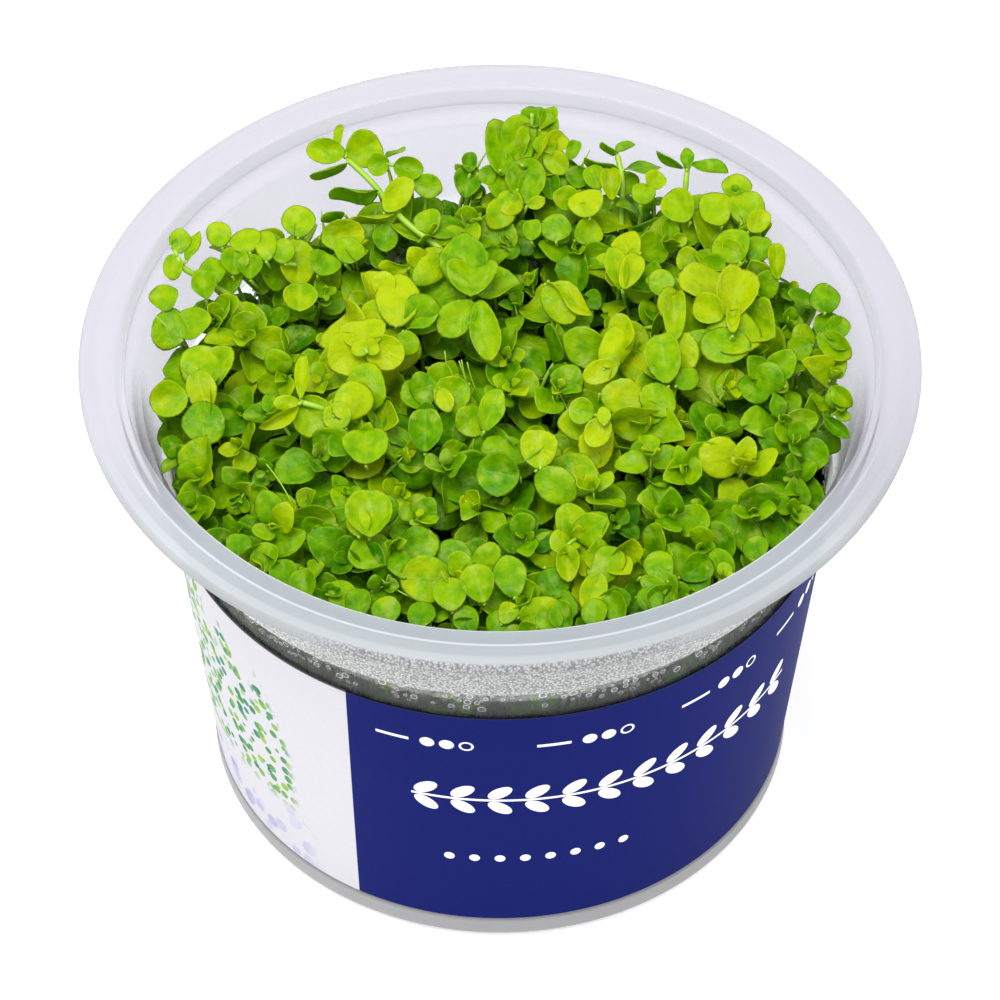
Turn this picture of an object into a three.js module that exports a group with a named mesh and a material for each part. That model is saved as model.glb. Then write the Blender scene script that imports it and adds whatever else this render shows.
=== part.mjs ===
// Giant baby tears growing in a clear tissue-culture cup with a wrapped label.
// Millimetres, +Z up, origin at the centre of the foot, on the surface the cup stands on.
// The label's blue part and the viewer's side of the cup face -Y.

import * as THREE from 'three';
import { mergeVertices } from 'three/addons/utils/BufferGeometryUtils.js';

// Driving dimensions of the cup
const RIM_RADIUS = 50;
const CUP_HEIGHT = 67;
const LIP_RADIUS = 44.7;
const WALL = 0.8;
const WALL_FOOT_RADIUS = 35.26;
const WALL_TAPER = 0.1014;
const HEEL_RADIUS = 36;
const HEEL_TOP = 3.4;
const FOOT_RING_INNER = 27;
const FOOT_RECESS = 0.8;
const SHOULDER_HEIGHT = 51;
const LEDGE_HEIGHT = 62.8;
const FLANGE_DROP = 1.4;
const SLOPE_WIDTH = 2.2;
const SHOULDER_STEP = 1.1;
const LEDGE_STEP = 1.1;
const HEEL_ROUNDING = 1.2;
const FLOOR_ROUNDING = 1;
const CHAMFER = 0.2;
const SEGMENTS = 40;

// Driving dimensions of what the cup holds and wears
const CLEARANCE = 0.3;
const LABEL_BOTTOM = 3.8;
const LABEL_TOP = 46.2;
const LABEL_THICKNESS = 0.3;
const GEL_TOP = 12;
const GEL_DISH = 0.6;
const GEL_ROUNDING = 1.2;
const STEM_WIDTH = 0.8;

// How far a shoot's root stands in towards the axis, against its crown
const ROOT_SPREAD = 0.84;
const CROWN_HEIGHT = 60;

// Crown of each shoot: place in plan and height of its tip
const SHOOTS = [
  // Back edge, from the leaning sprig on the left to the cluster on the right
  [-19, 34, 66], [-12, 27, 62], [-7, 35, 61], [4, 33, 67], [14, 34, 65], [23, 32, 64], [30, 26, 64],
  // Second row from the back
  [-27, 27, 61], [-2, 25, 62], [9, 24, 62], [20, 22, 61], [29, 18, 62], [37, 14, 61],
  // Left side
  [-35, 18, 61], [-38, 9, 60], [-25, 16, 61], [-30, 6, 59], [-37, 0, 60], [-15, 18, 61],
  [-33, -9, 59], [-34, -18, 58],
  // Middle
  [-5, 14, 65], [-16, 8, 64], [-5, 5, 63], [-18, -2, 65], [-24, -10, 63], [-9, -5, 62], [-15, -13, 61],
  [-4, -14, 61], [5, -15, 62], [12, -7, 63], [13, 2, 65], [5, 8, 62], [18, 12, 62], [27, 9, 65], [23, 0, 65],
  // Right side
  [32, -2, 62], [39, 5, 61], [39, -6, 60], [34, -14, 60], [26, -10, 61], [18, -15, 62],
  // Front
  [-27, -25, 59], [-19, -23, 60], [-10, -23, 60], [-14, -32, 58], [-3, -32, 58], [-1, -24, 59],
  [8, -26, 59], [14, -34, 58], [19, -25, 60], [29, -22, 60],
];

// Driving dimensions of the leaves
const LEAF_LENGTH = 9;
const YOUNG_LEAF = 7;
const SMALLEST_LEAF = 2.4;
const LEAF_TRIM = 0.2;
const LEAF_ROUNDNESS = 0.9;
const LEAF_ROOT = 0.6;
const TOP_LEAF_RISE = 3.2;
const BUD_HEIGHT = 1.6;
const PAIR_STEP = 3.8;
const TOP_PITCH = 30;
const PITCH_STEP = 9;
const PAIR_COUNTS = [4, 3];
const TURN_STEPS = 8;
const TURN_SHIFT = 0.618;
const NEIGHBOUR_REACH = 20;

// Five points round the edge of a leaf and one under its middle, as shares of its size
const LEAF_EDGE = [[0.28, -0.5, 0.07], [0.76, -0.44, 0.09], [1, 0, 0.04], [0.76, 0.44, 0.09], [0.28, 0.5, 0.07]];
const LEAF_KEEL = [0.5, 0, -0.09];

const plastic = new THREE.MeshStandardMaterial({ color: 0xe4e6ee, roughness: 0.25, metalness: 0 });
const print = new THREE.MeshStandardMaterial({ color: 0x1f2a70, roughness: 0.45, metalness: 0 });
const gel = new THREE.MeshStandardMaterial({ color: 0xc9ccc4, roughness: 0.2, metalness: 0 });
const foliage = new THREE.MeshStandardMaterial({ color: 0x8fbe14, roughness: 0.4, metalness: 0 });

// Outer radius of the tapered wall at a height
function wallRadius(height) {
  return WALL_FOOT_RADIUS + WALL_TAPER * height;
}

// A closed shape turned from points of radius and height
function turned(points) {
  const profile = points.map(([radius, height]) => new THREE.Vector2(radius, height));
  const geometry = new THREE.LatheGeometry(profile, SEGMENTS);
  geometry.rotateX(Math.PI / 2);
  return welded(geometry);
}

// Position-only geometry with its shared corners merged
function welded(geometry) {
  geometry.deleteAttribute('normal');
  geometry.deleteAttribute('uv');
  return mergeVertices(geometry, 1e-4);
}

function named(name, geometry, material) {
  const mesh = new THREE.Mesh(geometry, material);
  mesh.name = name;
  return mesh;
}

// Underside and outside of the cup, from the foot to the edge of the flange
const outside = [
  [0, FOOT_RECESS],
  [FOOT_RING_INNER - FOOT_RECESS, FOOT_RECESS],
  [FOOT_RING_INNER, 0],
  [HEEL_RADIUS - HEEL_ROUNDING, 0],
  [HEEL_RADIUS - CHAMFER, HEEL_ROUNDING / 2],
  [HEEL_RADIUS, HEEL_ROUNDING],
  [HEEL_RADIUS, HEEL_TOP - CHAMFER],
  [wallRadius(HEEL_TOP), HEEL_TOP],
  [wallRadius(SHOULDER_HEIGHT), SHOULDER_HEIGHT],
  [wallRadius(SHOULDER_HEIGHT) + SHOULDER_STEP, SHOULDER_HEIGHT + WALL],
  [LIP_RADIUS - LEDGE_STEP, LEDGE_HEIGHT - LEDGE_STEP],
  [LIP_RADIUS + WALL - CHAMFER, LEDGE_HEIGHT - CHAMFER],
  [LIP_RADIUS + WALL, CUP_HEIGHT - WALL - CHAMFER],
  [RIM_RADIUS - SLOPE_WIDTH - CHAMFER, CUP_HEIGHT - WALL - CHAMFER],
  [RIM_RADIUS - CHAMFER, CUP_HEIGHT - FLANGE_DROP - WALL],
  [RIM_RADIUS, CUP_HEIGHT - FLANGE_DROP],
];

// Top of the flange and inside of the cup, from the edge of the flange to the floor
const floorTop = FOOT_RECESS + WALL;
const inside = [
  [RIM_RADIUS - WALL, CUP_HEIGHT - WALL],
  [RIM_RADIUS - SLOPE_WIDTH, CUP_HEIGHT],
  [LIP_RADIUS, CUP_HEIGHT],
  [LIP_RADIUS - CHAMFER, LEDGE_HEIGHT + WALL],
  [LIP_RADIUS - LEDGE_STEP - WALL, LEDGE_HEIGHT],
  [wallRadius(SHOULDER_HEIGHT) + SHOULDER_STEP - WALL, SHOULDER_HEIGHT + WALL + CHAMFER],
  [wallRadius(SHOULDER_HEIGHT) - WALL, SHOULDER_HEIGHT + CHAMFER],
  [wallRadius(floorTop) - WALL, floorTop + FLOOR_ROUNDING],
  [wallRadius(floorTop) - WALL - FLOOR_ROUNDING, floorTop],
  [0, floorTop],
];

function cup() {
  return named('cup', turned([...outside, ...inside]), plastic);
}

// A closed strip round the tapered wall, just proud of it
function label() {
  const inner = (height) => wallRadius(height) + CLEARANCE;
  const outer = (height) => inner(height) + LABEL_THICKNESS;
  const profile = [
    [inner(LABEL_BOTTOM), LABEL_BOTTOM],
    [outer(LABEL_BOTTOM), LABEL_BOTTOM],
    [outer(LABEL_TOP), LABEL_TOP],
    [inner(LABEL_TOP), LABEL_TOP],
    [inner(LABEL_BOTTOM), LABEL_BOTTOM],
  ];
  return named('label', turned(profile), print);
}

function nutrientGel() {
  const edge = (height) => wallRadius(height) - WALL - CLEARANCE;
  const bottom = floorTop + CLEARANCE;
  const profile = [
    [0, bottom],
    [edge(bottom) - GEL_ROUNDING, bottom],
    [edge(bottom + GEL_ROUNDING), bottom + GEL_ROUNDING],
    [edge(GEL_TOP), GEL_TOP],
    [0, GEL_TOP - GEL_DISH],
  ];
  return named('nutrient_gel', turned(profile), gel);
}

// Inner radius of the cup at a height, less the gap that leaves keep to it
function roomRadius(height) {
  for (let i = 1; i < inside.length; i += 1) {
    const [upperRadius, upperHeight] = inside[i - 1];
    const [lowerRadius, lowerHeight] = inside[i];
    if (height > upperHeight || height <= lowerHeight) continue;
    const share = (height - lowerHeight) / (upperHeight - lowerHeight);
    const radius = lowerRadius + share * (upperRadius - lowerRadius);
    return radius * Math.cos(Math.PI / SEGMENTS) - CLEARANCE;
  }
  return LIP_RADIUS - CLEARANCE;
}

// Share of its crown's place in plan that a stem has at a height
function spreadAt(height) {
  const share = (height - GEL_TOP) / (CROWN_HEIGHT - GEL_TOP);
  return ROOT_SPREAD + (1 - ROOT_SPREAD) * share;
}

// Planes halfway to the neighbours, within which all of a shoot stays
function boundsOf(crown) {
  const rise = (1 - ROOT_SPREAD) / (CROWN_HEIGHT - GEL_TOP);
  const planes = [];
  for (const other of SHOOTS) {
    const away = new THREE.Vector2(other[0] - crown[0], other[1] - crown[1]);
    const distance = away.length();
    if (distance === 0 || distance > NEIGHBOUR_REACH) continue;
    away.divideScalar(distance);
    const middle = (away.x * (other[0] + crown[0]) + away.y * (other[1] + crown[1])) / 2;
    const normal = new THREE.Vector3(-away.x, -away.y, middle * rise);
    const plane = new THREE.Plane(normal, middle * spreadAt(0)).normalize();
    plane.constant -= CLEARANCE / 2;
    planes.push(plane);
  }
  return planes;
}

// Middle of a stem at a height
function stemAt([x, y], height) {
  return new THREE.Vector3(x * spreadAt(height), y * spreadAt(height), height);
}

// The points of a leaf that grows outwards from a seat and rises at its pitch
function leafPoints(seat, direction, pitch, length) {
  return [...LEAF_EDGE, LEAF_KEEL].map(([along, across, up]) => {
    const point = new THREE.Vector3(along * length, across * LEAF_ROUNDNESS * length, up * length);
    point.applyAxisAngle(new THREE.Vector3(0, 1, 0), -pitch);
    point.applyAxisAngle(new THREE.Vector3(0, 0, 1), direction);
    return point.add(seat);
  });
}

function staysIn(points, planes) {
  return points.every((point) => {
    const inCup = Math.hypot(point.x, point.y) < roomRadius(point.z);
    return inCup && planes.every((plane) => plane.distanceToPoint(point) > 0);
  });
}

// The largest leaf that fits on one side of a stem, or none
function largestLeaf(middle, direction, pitch, planes, most) {
  const out = new THREE.Vector3(Math.cos(direction), Math.sin(direction), 0);
  const seat = middle.clone().addScaledVector(out, STEM_WIDTH / 2);
  for (let length = most; length > SMALLEST_LEAF; length -= LEAF_TRIM) {
    const points = leafPoints(seat, direction, pitch, length);
    if (staysIn(points, planes)) return { points, length };
  }
  return null;
}

// Levels of opposite leaves from the tip down, each turned a quarter from the one above
function levelsOf(crown, pairs, turn, planes) {
  const levels = [];
  for (let pair = 0; pair < pairs; pair += 1) {
    const middle = stemAt(crown, crown[2] - TOP_LEAF_RISE - PAIR_STEP * pair);
    const pitch = THREE.MathUtils.degToRad(TOP_PITCH - PITCH_STEP * pair);
    const most = pair === 0 ? YOUNG_LEAF : LEAF_LENGTH;
    const sides = [pair % 2, (pair % 2) + 2].map((side) => ({
      side,
      leaf: largestLeaf(middle, turn + (side * Math.PI) / 2, pitch, planes, most),
    }));
    levels.push({ middle, sides });
  }
  return levels;
}

// Total length of the leaves of some levels
function spreadOf(levels) {
  return levels.flatMap((level) => level.sides).reduce((sum, { leaf }) => sum + (leaf?.length ?? 0), 0);
}

// One shoot as one skin: a square stem whose sides open into leaves, with a pointed bud on top
function shoot(crown, index) {
  const planes = boundsOf(crown);
  const pairs = PAIR_COUNTS[index % PAIR_COUNTS.length];
  const shift = (index * TURN_SHIFT) % 1;
  const turns = Array.from({ length: TURN_STEPS }, (_, step) => (Math.PI * (step + shift)) / TURN_STEPS);
  const choices = turns.map((turn) => ({ turn, levels: levelsOf(crown, pairs, turn, planes) }));
  const { turn, levels } = choices.reduce((one, two) => (spreadOf(two.levels) > spreadOf(one.levels) ? two : one));
  const points = [];
  const faces = [];

  // Adds the four corners of the stem round a point, and returns the number of the first
  function ring(middle) {
    for (let corner = 0; corner < 4; corner += 1) {
      const angle = turn + Math.PI / 4 + (corner * Math.PI) / 2;
      const out = new THREE.Vector3(Math.cos(angle), Math.sin(angle), 0);
      points.push(middle.clone().addScaledVector(out, STEM_WIDTH / Math.SQRT2));
    }
    return points.length - 4;
  }

  // Closes one side of the stem between two rings, with a leaf growing out of it if there is one
  function closeSide(low, high, side, leaf) {
    const from = (side + 3) % 4;
    const [a, b, c, d] = [low + from, low + side, high + side, high + from];
    if (!leaf) {
      faces.push(a, b, c, a, c, d);
      return;
    }
    const edge = points.length;
    points.push(...leaf.points);
    const [near, wide, tip, wideBack, nearBack, keel] = [0, 1, 2, 3, 4, 5].map((step) => edge + step);
    faces.push(d, near, wide, d, wide, tip, d, tip, c, c, tip, wideBack, c, wideBack, nearBack);
    faces.push(d, a, near, b, c, nearBack);
    const under = [a, b, nearBack, wideBack, tip, wide, near];
    under.forEach((corner, step) => faces.push(keel, corner, under[(step + 1) % under.length]));
  }

  let below = ring(stemAt(crown, GEL_TOP + CLEARANCE));
  faces.push(below, below + 3, below + 2, below, below + 2, below + 1);
  for (const { middle, sides } of levels.reverse()) {
    const low = ring(middle.clone().setZ(middle.z - LEAF_ROOT / 2));
    const high = ring(middle.clone().setZ(middle.z + LEAF_ROOT / 2));
    for (let side = 0; side < 4; side += 1) {
      closeSide(below, low, side, null);
      closeSide(low, high, side, sides.find((one) => one.side === side)?.leaf);
    }
    below = high;
  }
  const bud = points.push(stemAt(crown, crown[2] - TOP_LEAF_RISE + BUD_HEIGHT)) - 1;
  for (let side = 0; side < 4; side += 1) faces.push(below + side, below + ((side + 1) % 4), bud);

  const geometry = new THREE.BufferGeometry().setFromPoints(points);
  geometry.setIndex(faces);
  geometry.computeVertexNormals();
  return named(`shoot_${String(index + 1).padStart(2, '0')}`, geometry, foliage);
}

const plant = new THREE.Group();
plant.add(cup());
plant.add(label());
plant.add(nutrientGel());
SHOOTS.forEach((crown, index) => plant.add(shoot(crown, index)));

export default plant;
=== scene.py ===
import random
from math import cos, pi, radians, sin, sqrt

import bpy
import numpy as np
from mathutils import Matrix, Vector
from numpy.linalg import norm


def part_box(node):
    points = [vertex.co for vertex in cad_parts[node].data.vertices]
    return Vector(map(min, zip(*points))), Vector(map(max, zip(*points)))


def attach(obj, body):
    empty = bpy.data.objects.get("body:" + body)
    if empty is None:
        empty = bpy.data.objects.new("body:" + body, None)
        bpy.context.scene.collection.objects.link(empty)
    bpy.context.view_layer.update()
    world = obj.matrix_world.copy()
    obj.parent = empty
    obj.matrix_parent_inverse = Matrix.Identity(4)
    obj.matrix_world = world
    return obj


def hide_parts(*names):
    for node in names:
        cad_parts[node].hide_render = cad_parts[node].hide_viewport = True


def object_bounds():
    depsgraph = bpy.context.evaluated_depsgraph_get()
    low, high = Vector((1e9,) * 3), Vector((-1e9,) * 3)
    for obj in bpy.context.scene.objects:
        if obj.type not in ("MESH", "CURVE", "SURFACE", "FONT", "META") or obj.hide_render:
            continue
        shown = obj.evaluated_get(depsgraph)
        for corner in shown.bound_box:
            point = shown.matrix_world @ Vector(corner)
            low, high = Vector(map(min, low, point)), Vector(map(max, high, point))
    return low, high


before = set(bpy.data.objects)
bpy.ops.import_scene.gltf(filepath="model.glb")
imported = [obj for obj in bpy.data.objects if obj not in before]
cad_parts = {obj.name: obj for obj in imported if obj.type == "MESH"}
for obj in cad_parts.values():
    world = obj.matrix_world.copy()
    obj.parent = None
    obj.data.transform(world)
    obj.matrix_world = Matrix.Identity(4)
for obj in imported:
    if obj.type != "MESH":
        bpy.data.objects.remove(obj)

CAD_BOX = [list(corner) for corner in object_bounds()]

MM = 0.001

# Sizes read from the frame, in millimetres
CUP_HIGH, GEL_HIGH = (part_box(name)[1] / MM for name in ("cup", "nutrient_gel"))
LABEL_LOW, LABEL_HIGH = (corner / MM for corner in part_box("label"))
RIM_RADIUS, CUP_HEIGHT = CUP_HIGH.x, CUP_HIGH.z
LABEL_BOTTOM, LABEL_TOP = LABEL_LOW.z, LABEL_HIGH.z
GEL_TOP = GEL_HIGH.z
MODEL_TOP = CAD_BOX[1][2] / MM

# Make of the cup, in millimetres
WALL = 0.8
GAP = 0.3
LABEL_THICKNESS = 0.3
LIP_RADIUS = RIM_RADIUS - 5.3
HEEL_RADIUS = 36.0
HEEL_TOP = 3.4
FOOT_RING_INNER = 27.0
FOOT_RECESS = 0.8
FLOOR_TOP = FOOT_RECESS + WALL
SHOULDER_HEIGHT = 51.0
SHOULDER_OUT = 1.1
LEDGE_HEIGHT = 62.8
LEDGE_WIDTH = 1.1
FLANGE_DROP = 1.4
FLANGE_UNDER = CUP_HEIGHT - WALL - 0.2
CUP_SEGMENTS = 200

# Camera: where the cup's rim, label edges and foot fall in the photograph's frame
CAMERA_DISTANCE = 0.7
CAMERA_ELEVATION = radians(47.33)
CAMERA_AIM_HEIGHT = 40.16
FOCAL_PIXELS = 5754.7
FRAME_PIXELS = 1000
PIXELS_PER_MM = 8.4
SENSOR = 36.0

# Habit of the plants, in millimetres
ROOT_SPREAD = 0.84
CROWN_LEVEL = 60.0
CROWN_RADIUS = 40.5
ROOT_RADIUS = 34.0
SHOOT_SPACING = 4.6
FILLING_TRIES = 8000
FILLING_DROP = (0.6, 4.2)
FILLING_SIZE, FILLING_STRETCH, FILLING_TONE = (0.55, 1.0), (0.8, 1.3), (0.3, 0.75)
FILLING_LEAN, FORWARD_LEAN, LEAN_SPREAD = (0.3, 0.25), 0.2, 0.3
MOUND_REACH = 42
LEAF_LENGTH = 5.4
LEAF_THICKNESS = 0.26
STEM_RADIUS = 0.42
STALK_RADIUS = 0.26
STALK_REACH = 2.0
THREAD_RADIUS = 0.09
ROOT_DEPTH = 0.8
ROOT_PULL = 8
BARE_FOOT = 6
WALL_CLEARANCE = 0.12
MOST_EASED = 1.6
TOP_CLEARANCE = 0.05
SEED = 11


# Walls of the cup

INNER_FOOT = GEL_HIGH.x + WALL + GAP
WALL_TAPER = (LABEL_HIGH.x - GAP - LABEL_THICKNESS - INNER_FOOT) / (LABEL_TOP - GEL_TOP)


def wall_radius(height):
    """Outer radius of the tapered wall at a height."""
    return INNER_FOOT + WALL_TAPER * (height - GEL_TOP)


SHOULDER_RADIUS = wall_radius(SHOULDER_HEIGHT)

# Half section of the cup as radius and height: its outside from the foot up, its inside from the rim down
OUTSIDE = [
    (0, FOOT_RECESS),
    (FOOT_RING_INNER - 0.8, FOOT_RECESS),
    (FOOT_RING_INNER, 0),
    (HEEL_RADIUS - 1.0, 0),
    (HEEL_RADIUS, 1.0),
    (HEEL_RADIUS, HEEL_TOP - 0.2),
    (wall_radius(HEEL_TOP), HEEL_TOP),
    (SHOULDER_RADIUS, SHOULDER_HEIGHT),
    (SHOULDER_RADIUS + SHOULDER_OUT, SHOULDER_HEIGHT + 0.8),
    (LIP_RADIUS - LEDGE_WIDTH, LEDGE_HEIGHT - 1),
    (LIP_RADIUS + WALL - 0.2, LEDGE_HEIGHT - 0.2),
    (LIP_RADIUS + WALL, FLANGE_UNDER),
    (RIM_RADIUS - 2.4, FLANGE_UNDER),
    (RIM_RADIUS - 0.4, CUP_HEIGHT - FLANGE_DROP - 0.8),
    (RIM_RADIUS, CUP_HEIGHT - FLANGE_DROP - 0.2),
]
INSIDE = [
    (RIM_RADIUS - 0.3, CUP_HEIGHT - 0.8),
    (RIM_RADIUS - 2.2, CUP_HEIGHT),
    (LIP_RADIUS, CUP_HEIGHT),
    (LIP_RADIUS - 0.3, LEDGE_HEIGHT + 0.6),
    (LIP_RADIUS - LEDGE_WIDTH - WALL, LEDGE_HEIGHT),
    (SHOULDER_RADIUS + SHOULDER_OUT - WALL, SHOULDER_HEIGHT + 1),
    (SHOULDER_RADIUS - WALL, SHOULDER_HEIGHT + 0.3),
    (wall_radius(FLOOR_TOP) - WALL, FLOOR_TOP + 1),
    (wall_radius(FLOOR_TOP) - WALL - 1, FLOOR_TOP),
    (0, FLOOR_TOP),
]
ROOM_RADII, ROOM_HEIGHTS = zip(*INSIDE[8:1:-1])


def room_radius(height):
    """Inner radius of the cup at a height, for a number or an array."""
    return np.interp(height, ROOM_HEIGHTS, ROOM_RADII)


# Shader building

class Signal:
    """A socket whose arithmetic adds Math nodes."""

    def __init__(self, finish, socket):
        self.finish = finish
        self.socket = socket

    def __add__(self, other):
        return self.finish.math("ADD", self, other)

    def __sub__(self, other):
        return self.finish.math("SUBTRACT", self, other)

    def __rsub__(self, other):
        return self.finish.math("SUBTRACT", other, self)

    def __mul__(self, other):
        return self.finish.math("MULTIPLY", self, other)

    def __truediv__(self, other):
        return self.finish.math("DIVIDE", self, other)

    def __pow__(self, other):
        return self.finish.math("POWER", self, other)

    def __abs__(self):
        return self.finish.math("ABSOLUTE", self)

    __radd__ = __add__
    __rmul__ = __mul__


class Finish:
    """A material under construction: one Principled shader and what feeds it."""

    def __init__(self, name, **constants):
        self.material = bpy.data.materials.new(name)
        self.material.use_nodes = True
        self.tree = self.material.node_tree
        self.tree.nodes.clear()
        self.output = self.tree.nodes.new("ShaderNodeOutputMaterial")
        self.skin = self.tree.nodes.new("ShaderNodeBsdfPrincipled")
        self.body = Signal(self, self.skin.outputs["BSDF"])
        self.feed(self.output.inputs["Surface"], self.body)
        self.set(**constants)

    def feed(self, socket, value):
        """Links a signal to a socket or sets its value; a colour gets its alpha here."""
        if isinstance(value, Signal):
            self.tree.links.new(value.socket, socket)
        else:
            socket.default_value = (*value, 1) if isinstance(value, tuple) else value

    def set(self, **values):
        """Sets or links sockets of the Principled shader, with underscores for spaces."""
        for name, value in values.items():
            self.feed(self.skin.inputs[name.replace("_", " ")], value)

    def node(self, kind, settings=None, values=None, output=0):
        """Adds a node: its settings first, then the values or links of its sockets."""
        made = self.tree.nodes.new(kind)
        for name, value in (settings or {}).items():
            if name == "stops":
                self.place_stops(made.color_ramp, value)
            else:
                setattr(made, name, value)
        for name, value in (values or {}).items():
            self.feed(made.inputs[name], value)
        return Signal(self, made.outputs[output])

    def place_stops(self, ramp, stops):
        for place, _ in stops[len(ramp.elements):]:
            ramp.elements.new(place)
        for element, (place, colour) in zip(ramp.elements, stops):
            element.position = place
            element.color = (*colour, 1)

    def math(self, operation, *values):
        return self.node("ShaderNodeMath", {"operation": operation}, dict(enumerate(values)))

    def step(self, value, low, high):
        """0 below low and 1 above high, eased between them."""
        settings = {"interpolation_type": "SMOOTHSTEP"}
        return self.node("ShaderNodeMapRange", settings, {0: value, 1: low, 2: high})

    def span(self, value, low, high, soft=0.1):
        """1 between low and high, with soft edges."""
        half = soft / 2
        return self.step(value, low - half, low + half) * (1 - self.step(value, high - half, high + half))

    def line(self, value, centre, half):
        """A soft thin line about a value."""
        return 1 - self.step(abs(value - centre), 0.3 * half, half)

    def blend(self, factor, one, other):
        """A colour between two colours."""
        return self.node("ShaderNodeMix", {"data_type": "RGBA"}, {0: factor, 6: one, 7: other}, 2)

    def ramp(self, value, *stops):
        return self.node("ShaderNodeValToRGB", {"stops": stops}, {0: value})

    def place(self):
        return self.node("ShaderNodeTexCoord", output="Object")

    def attribute(self, name):
        return self.node("ShaderNodeAttribute", {"attribute_name": name}, output="Fac")

    def axes(self, vector):
        split = self.tree.nodes.new("ShaderNodeSeparateXYZ")
        self.feed(split.inputs[0], vector)
        return [Signal(self, output) for output in split.outputs]

    def noise(self, size, detail, where=None):
        """Noise whose features are about so many millimetres."""
        values = {"Vector": where or self.place(), "Scale": 1 / (size * MM), "Detail": detail}
        return self.node("ShaderNodeTexNoise", None, values)

    def cells(self, size, where=None, output="Distance"):
        """Distance to the middle of a cell of so many millimetres, or the cell's own colour."""
        values = {"Vector": where or self.place(), "Scale": 1 / (size * MM)}
        return self.node("ShaderNodeTexVoronoi", None, values, output)

    def bump(self, height, strength, depth, under=None):
        """A normal pressed in by a height from 0 to 1, so many millimetres deep."""
        values = {"Height": height, "Strength": strength, "Distance": depth * MM}
        if under:
            values["Normal"] = under
        return self.node("ShaderNodeBump", None, values)

    def mix_in(self, kind, share, colour):
        """Gives a share of the surface to another shader."""
        other = self.node(kind, None, {"Color": colour})
        mixed = self.node("ShaderNodeMixShader", None, {0: share, 1: self.body, 2: other})
        self.feed(self.output.inputs["Surface"], mixed)

    def see_through(self, share, tint):
        """Lets a share of the light pass straight through, as thin clear plastic does."""
        self.mix_in("ShaderNodeBsdfTransparent", share, tint)

    def lit_through(self, share, colour):
        """Lets a share of the light on the far side of a thin leaf glow through it."""
        self.mix_in("ShaderNodeBsdfTranslucent", share, colour)


def linear(*screen):
    """A scene colour from the 0 to 255 values of a screen colour."""
    return tuple(((c / 255 + 0.055) / 1.055) ** 2.4 if c > 10 else c / 255 / 12.92 for c in screen)


# Finishes

MILKY = (0.445, 0.445, 0.475)
COLLAR_SHADE_LINE = (0.16, 0.16, 0.18)
GROOVE_SHADE = (0.2, 0.2, 0.22)
EDGE_HIGHLIGHT = (0.95, 0.96, 0.98)
# Tints of the rim's bands at the front: painted shade for the dim inside seen through the plastic, the side
# band lighter as painted light
RIM_TOP, RIM_SLOPE, RIM_SIDE, RIM_UNDER = (
    (0.50, 0.55, 0.585), (0.53, 0.575, 0.60), (0.65, 0.69, 0.71), (0.52, 0.54, 0.55)
)
# Where the plastic's look changes, in metres: from front to back, and up the collar
RIM_FRONT, RIM_NEAREST, MIST_FRONT = (-34 * MM, -12 * MM), (-47.5 * MM, -42 * MM), (-12 * MM, 4 * MM)
MIST_FOOT, MIST_TOP, EDGE_HIGHLIGHTS_FROM = (50.8 * MM, 51.6 * MM), (61.2 * MM, 62.4 * MM), (64 * MM, 64.5 * MM)


def leaf_finish():
    leaf = Finish("fresh_leaf", Roughness=0.32, IOR=1.42, Specular_IOR_Level=0.17)
    along, across, _ = leaf.axes(leaf.node("ShaderNodeUVMap", {"uv_map": "blade"}))
    shade = (leaf.attribute("tone") - 0.5) * 1.1 + leaf.noise(1.4, 4) + along * 0.2 - 0.08
    colour = leaf.ramp(
        shade,
        (0.0, linear(56, 124, 0)),
        (0.35, linear(106, 168, 0)),
        (0.65, linear(147, 192, 0)),
        (1.0, linear(189, 209, 6)),
    )
    # Pale patches, partly the leaf's own mottling and partly painted sheen
    pale = leaf.step(leaf.noise(2.2, 3), 0.55, 0.7)
    colour = leaf.blend(pale * 0.52, colour, linear(184, 208, 78))
    rib = 1 - leaf.step(abs(across - 0.5), 0.0, 0.04)
    colour = leaf.blend(rib * 0.14, colour, linear(186, 210, 60))
    reach = ((along - 0.5) ** 2 + (across - 0.5) ** 2) ** 0.5
    colour = leaf.blend(leaf.step(reach, 0.42, 0.5) * 0.2, colour, linear(206, 224, 60))
    pits = leaf.bump(leaf.noise(0.4, 2), 0.3, 0.06)
    waves = leaf.bump(leaf.noise(1.5, 2), 0.8, 0.5, pits)
    leaf.set(Base_Color=colour, Normal=leaf.bump(rib, 0.25, 0.08, waves))
    leaf.lit_through(0.38, leaf.blend(0.5, colour, linear(200, 224, 10)))
    return leaf.material


def stem_finish():
    stem = Finish("young_stem", Roughness=0.4, IOR=1.42)
    stem.set(Base_Color=stem.blend(stem.noise(2.5, 2), linear(128, 176, 24), linear(172, 206, 70)))
    return stem.material


def mist_glints_and_shade(finish, bead):
    """Colour of fine mist: a painted glint at the middle of each bead and painted shade at its edge, from the
    distance to the bead's middle.
    """
    light = (0.0, (0.92, 0.93, 0.92)), (0.3, (0.7, 0.71, 0.7))
    dark = (0.5, (0.4, 0.41, 0.4)), (0.8, (0.2, 0.2, 0.2))
    return finish.ramp(bead, *light, *dark)


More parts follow.
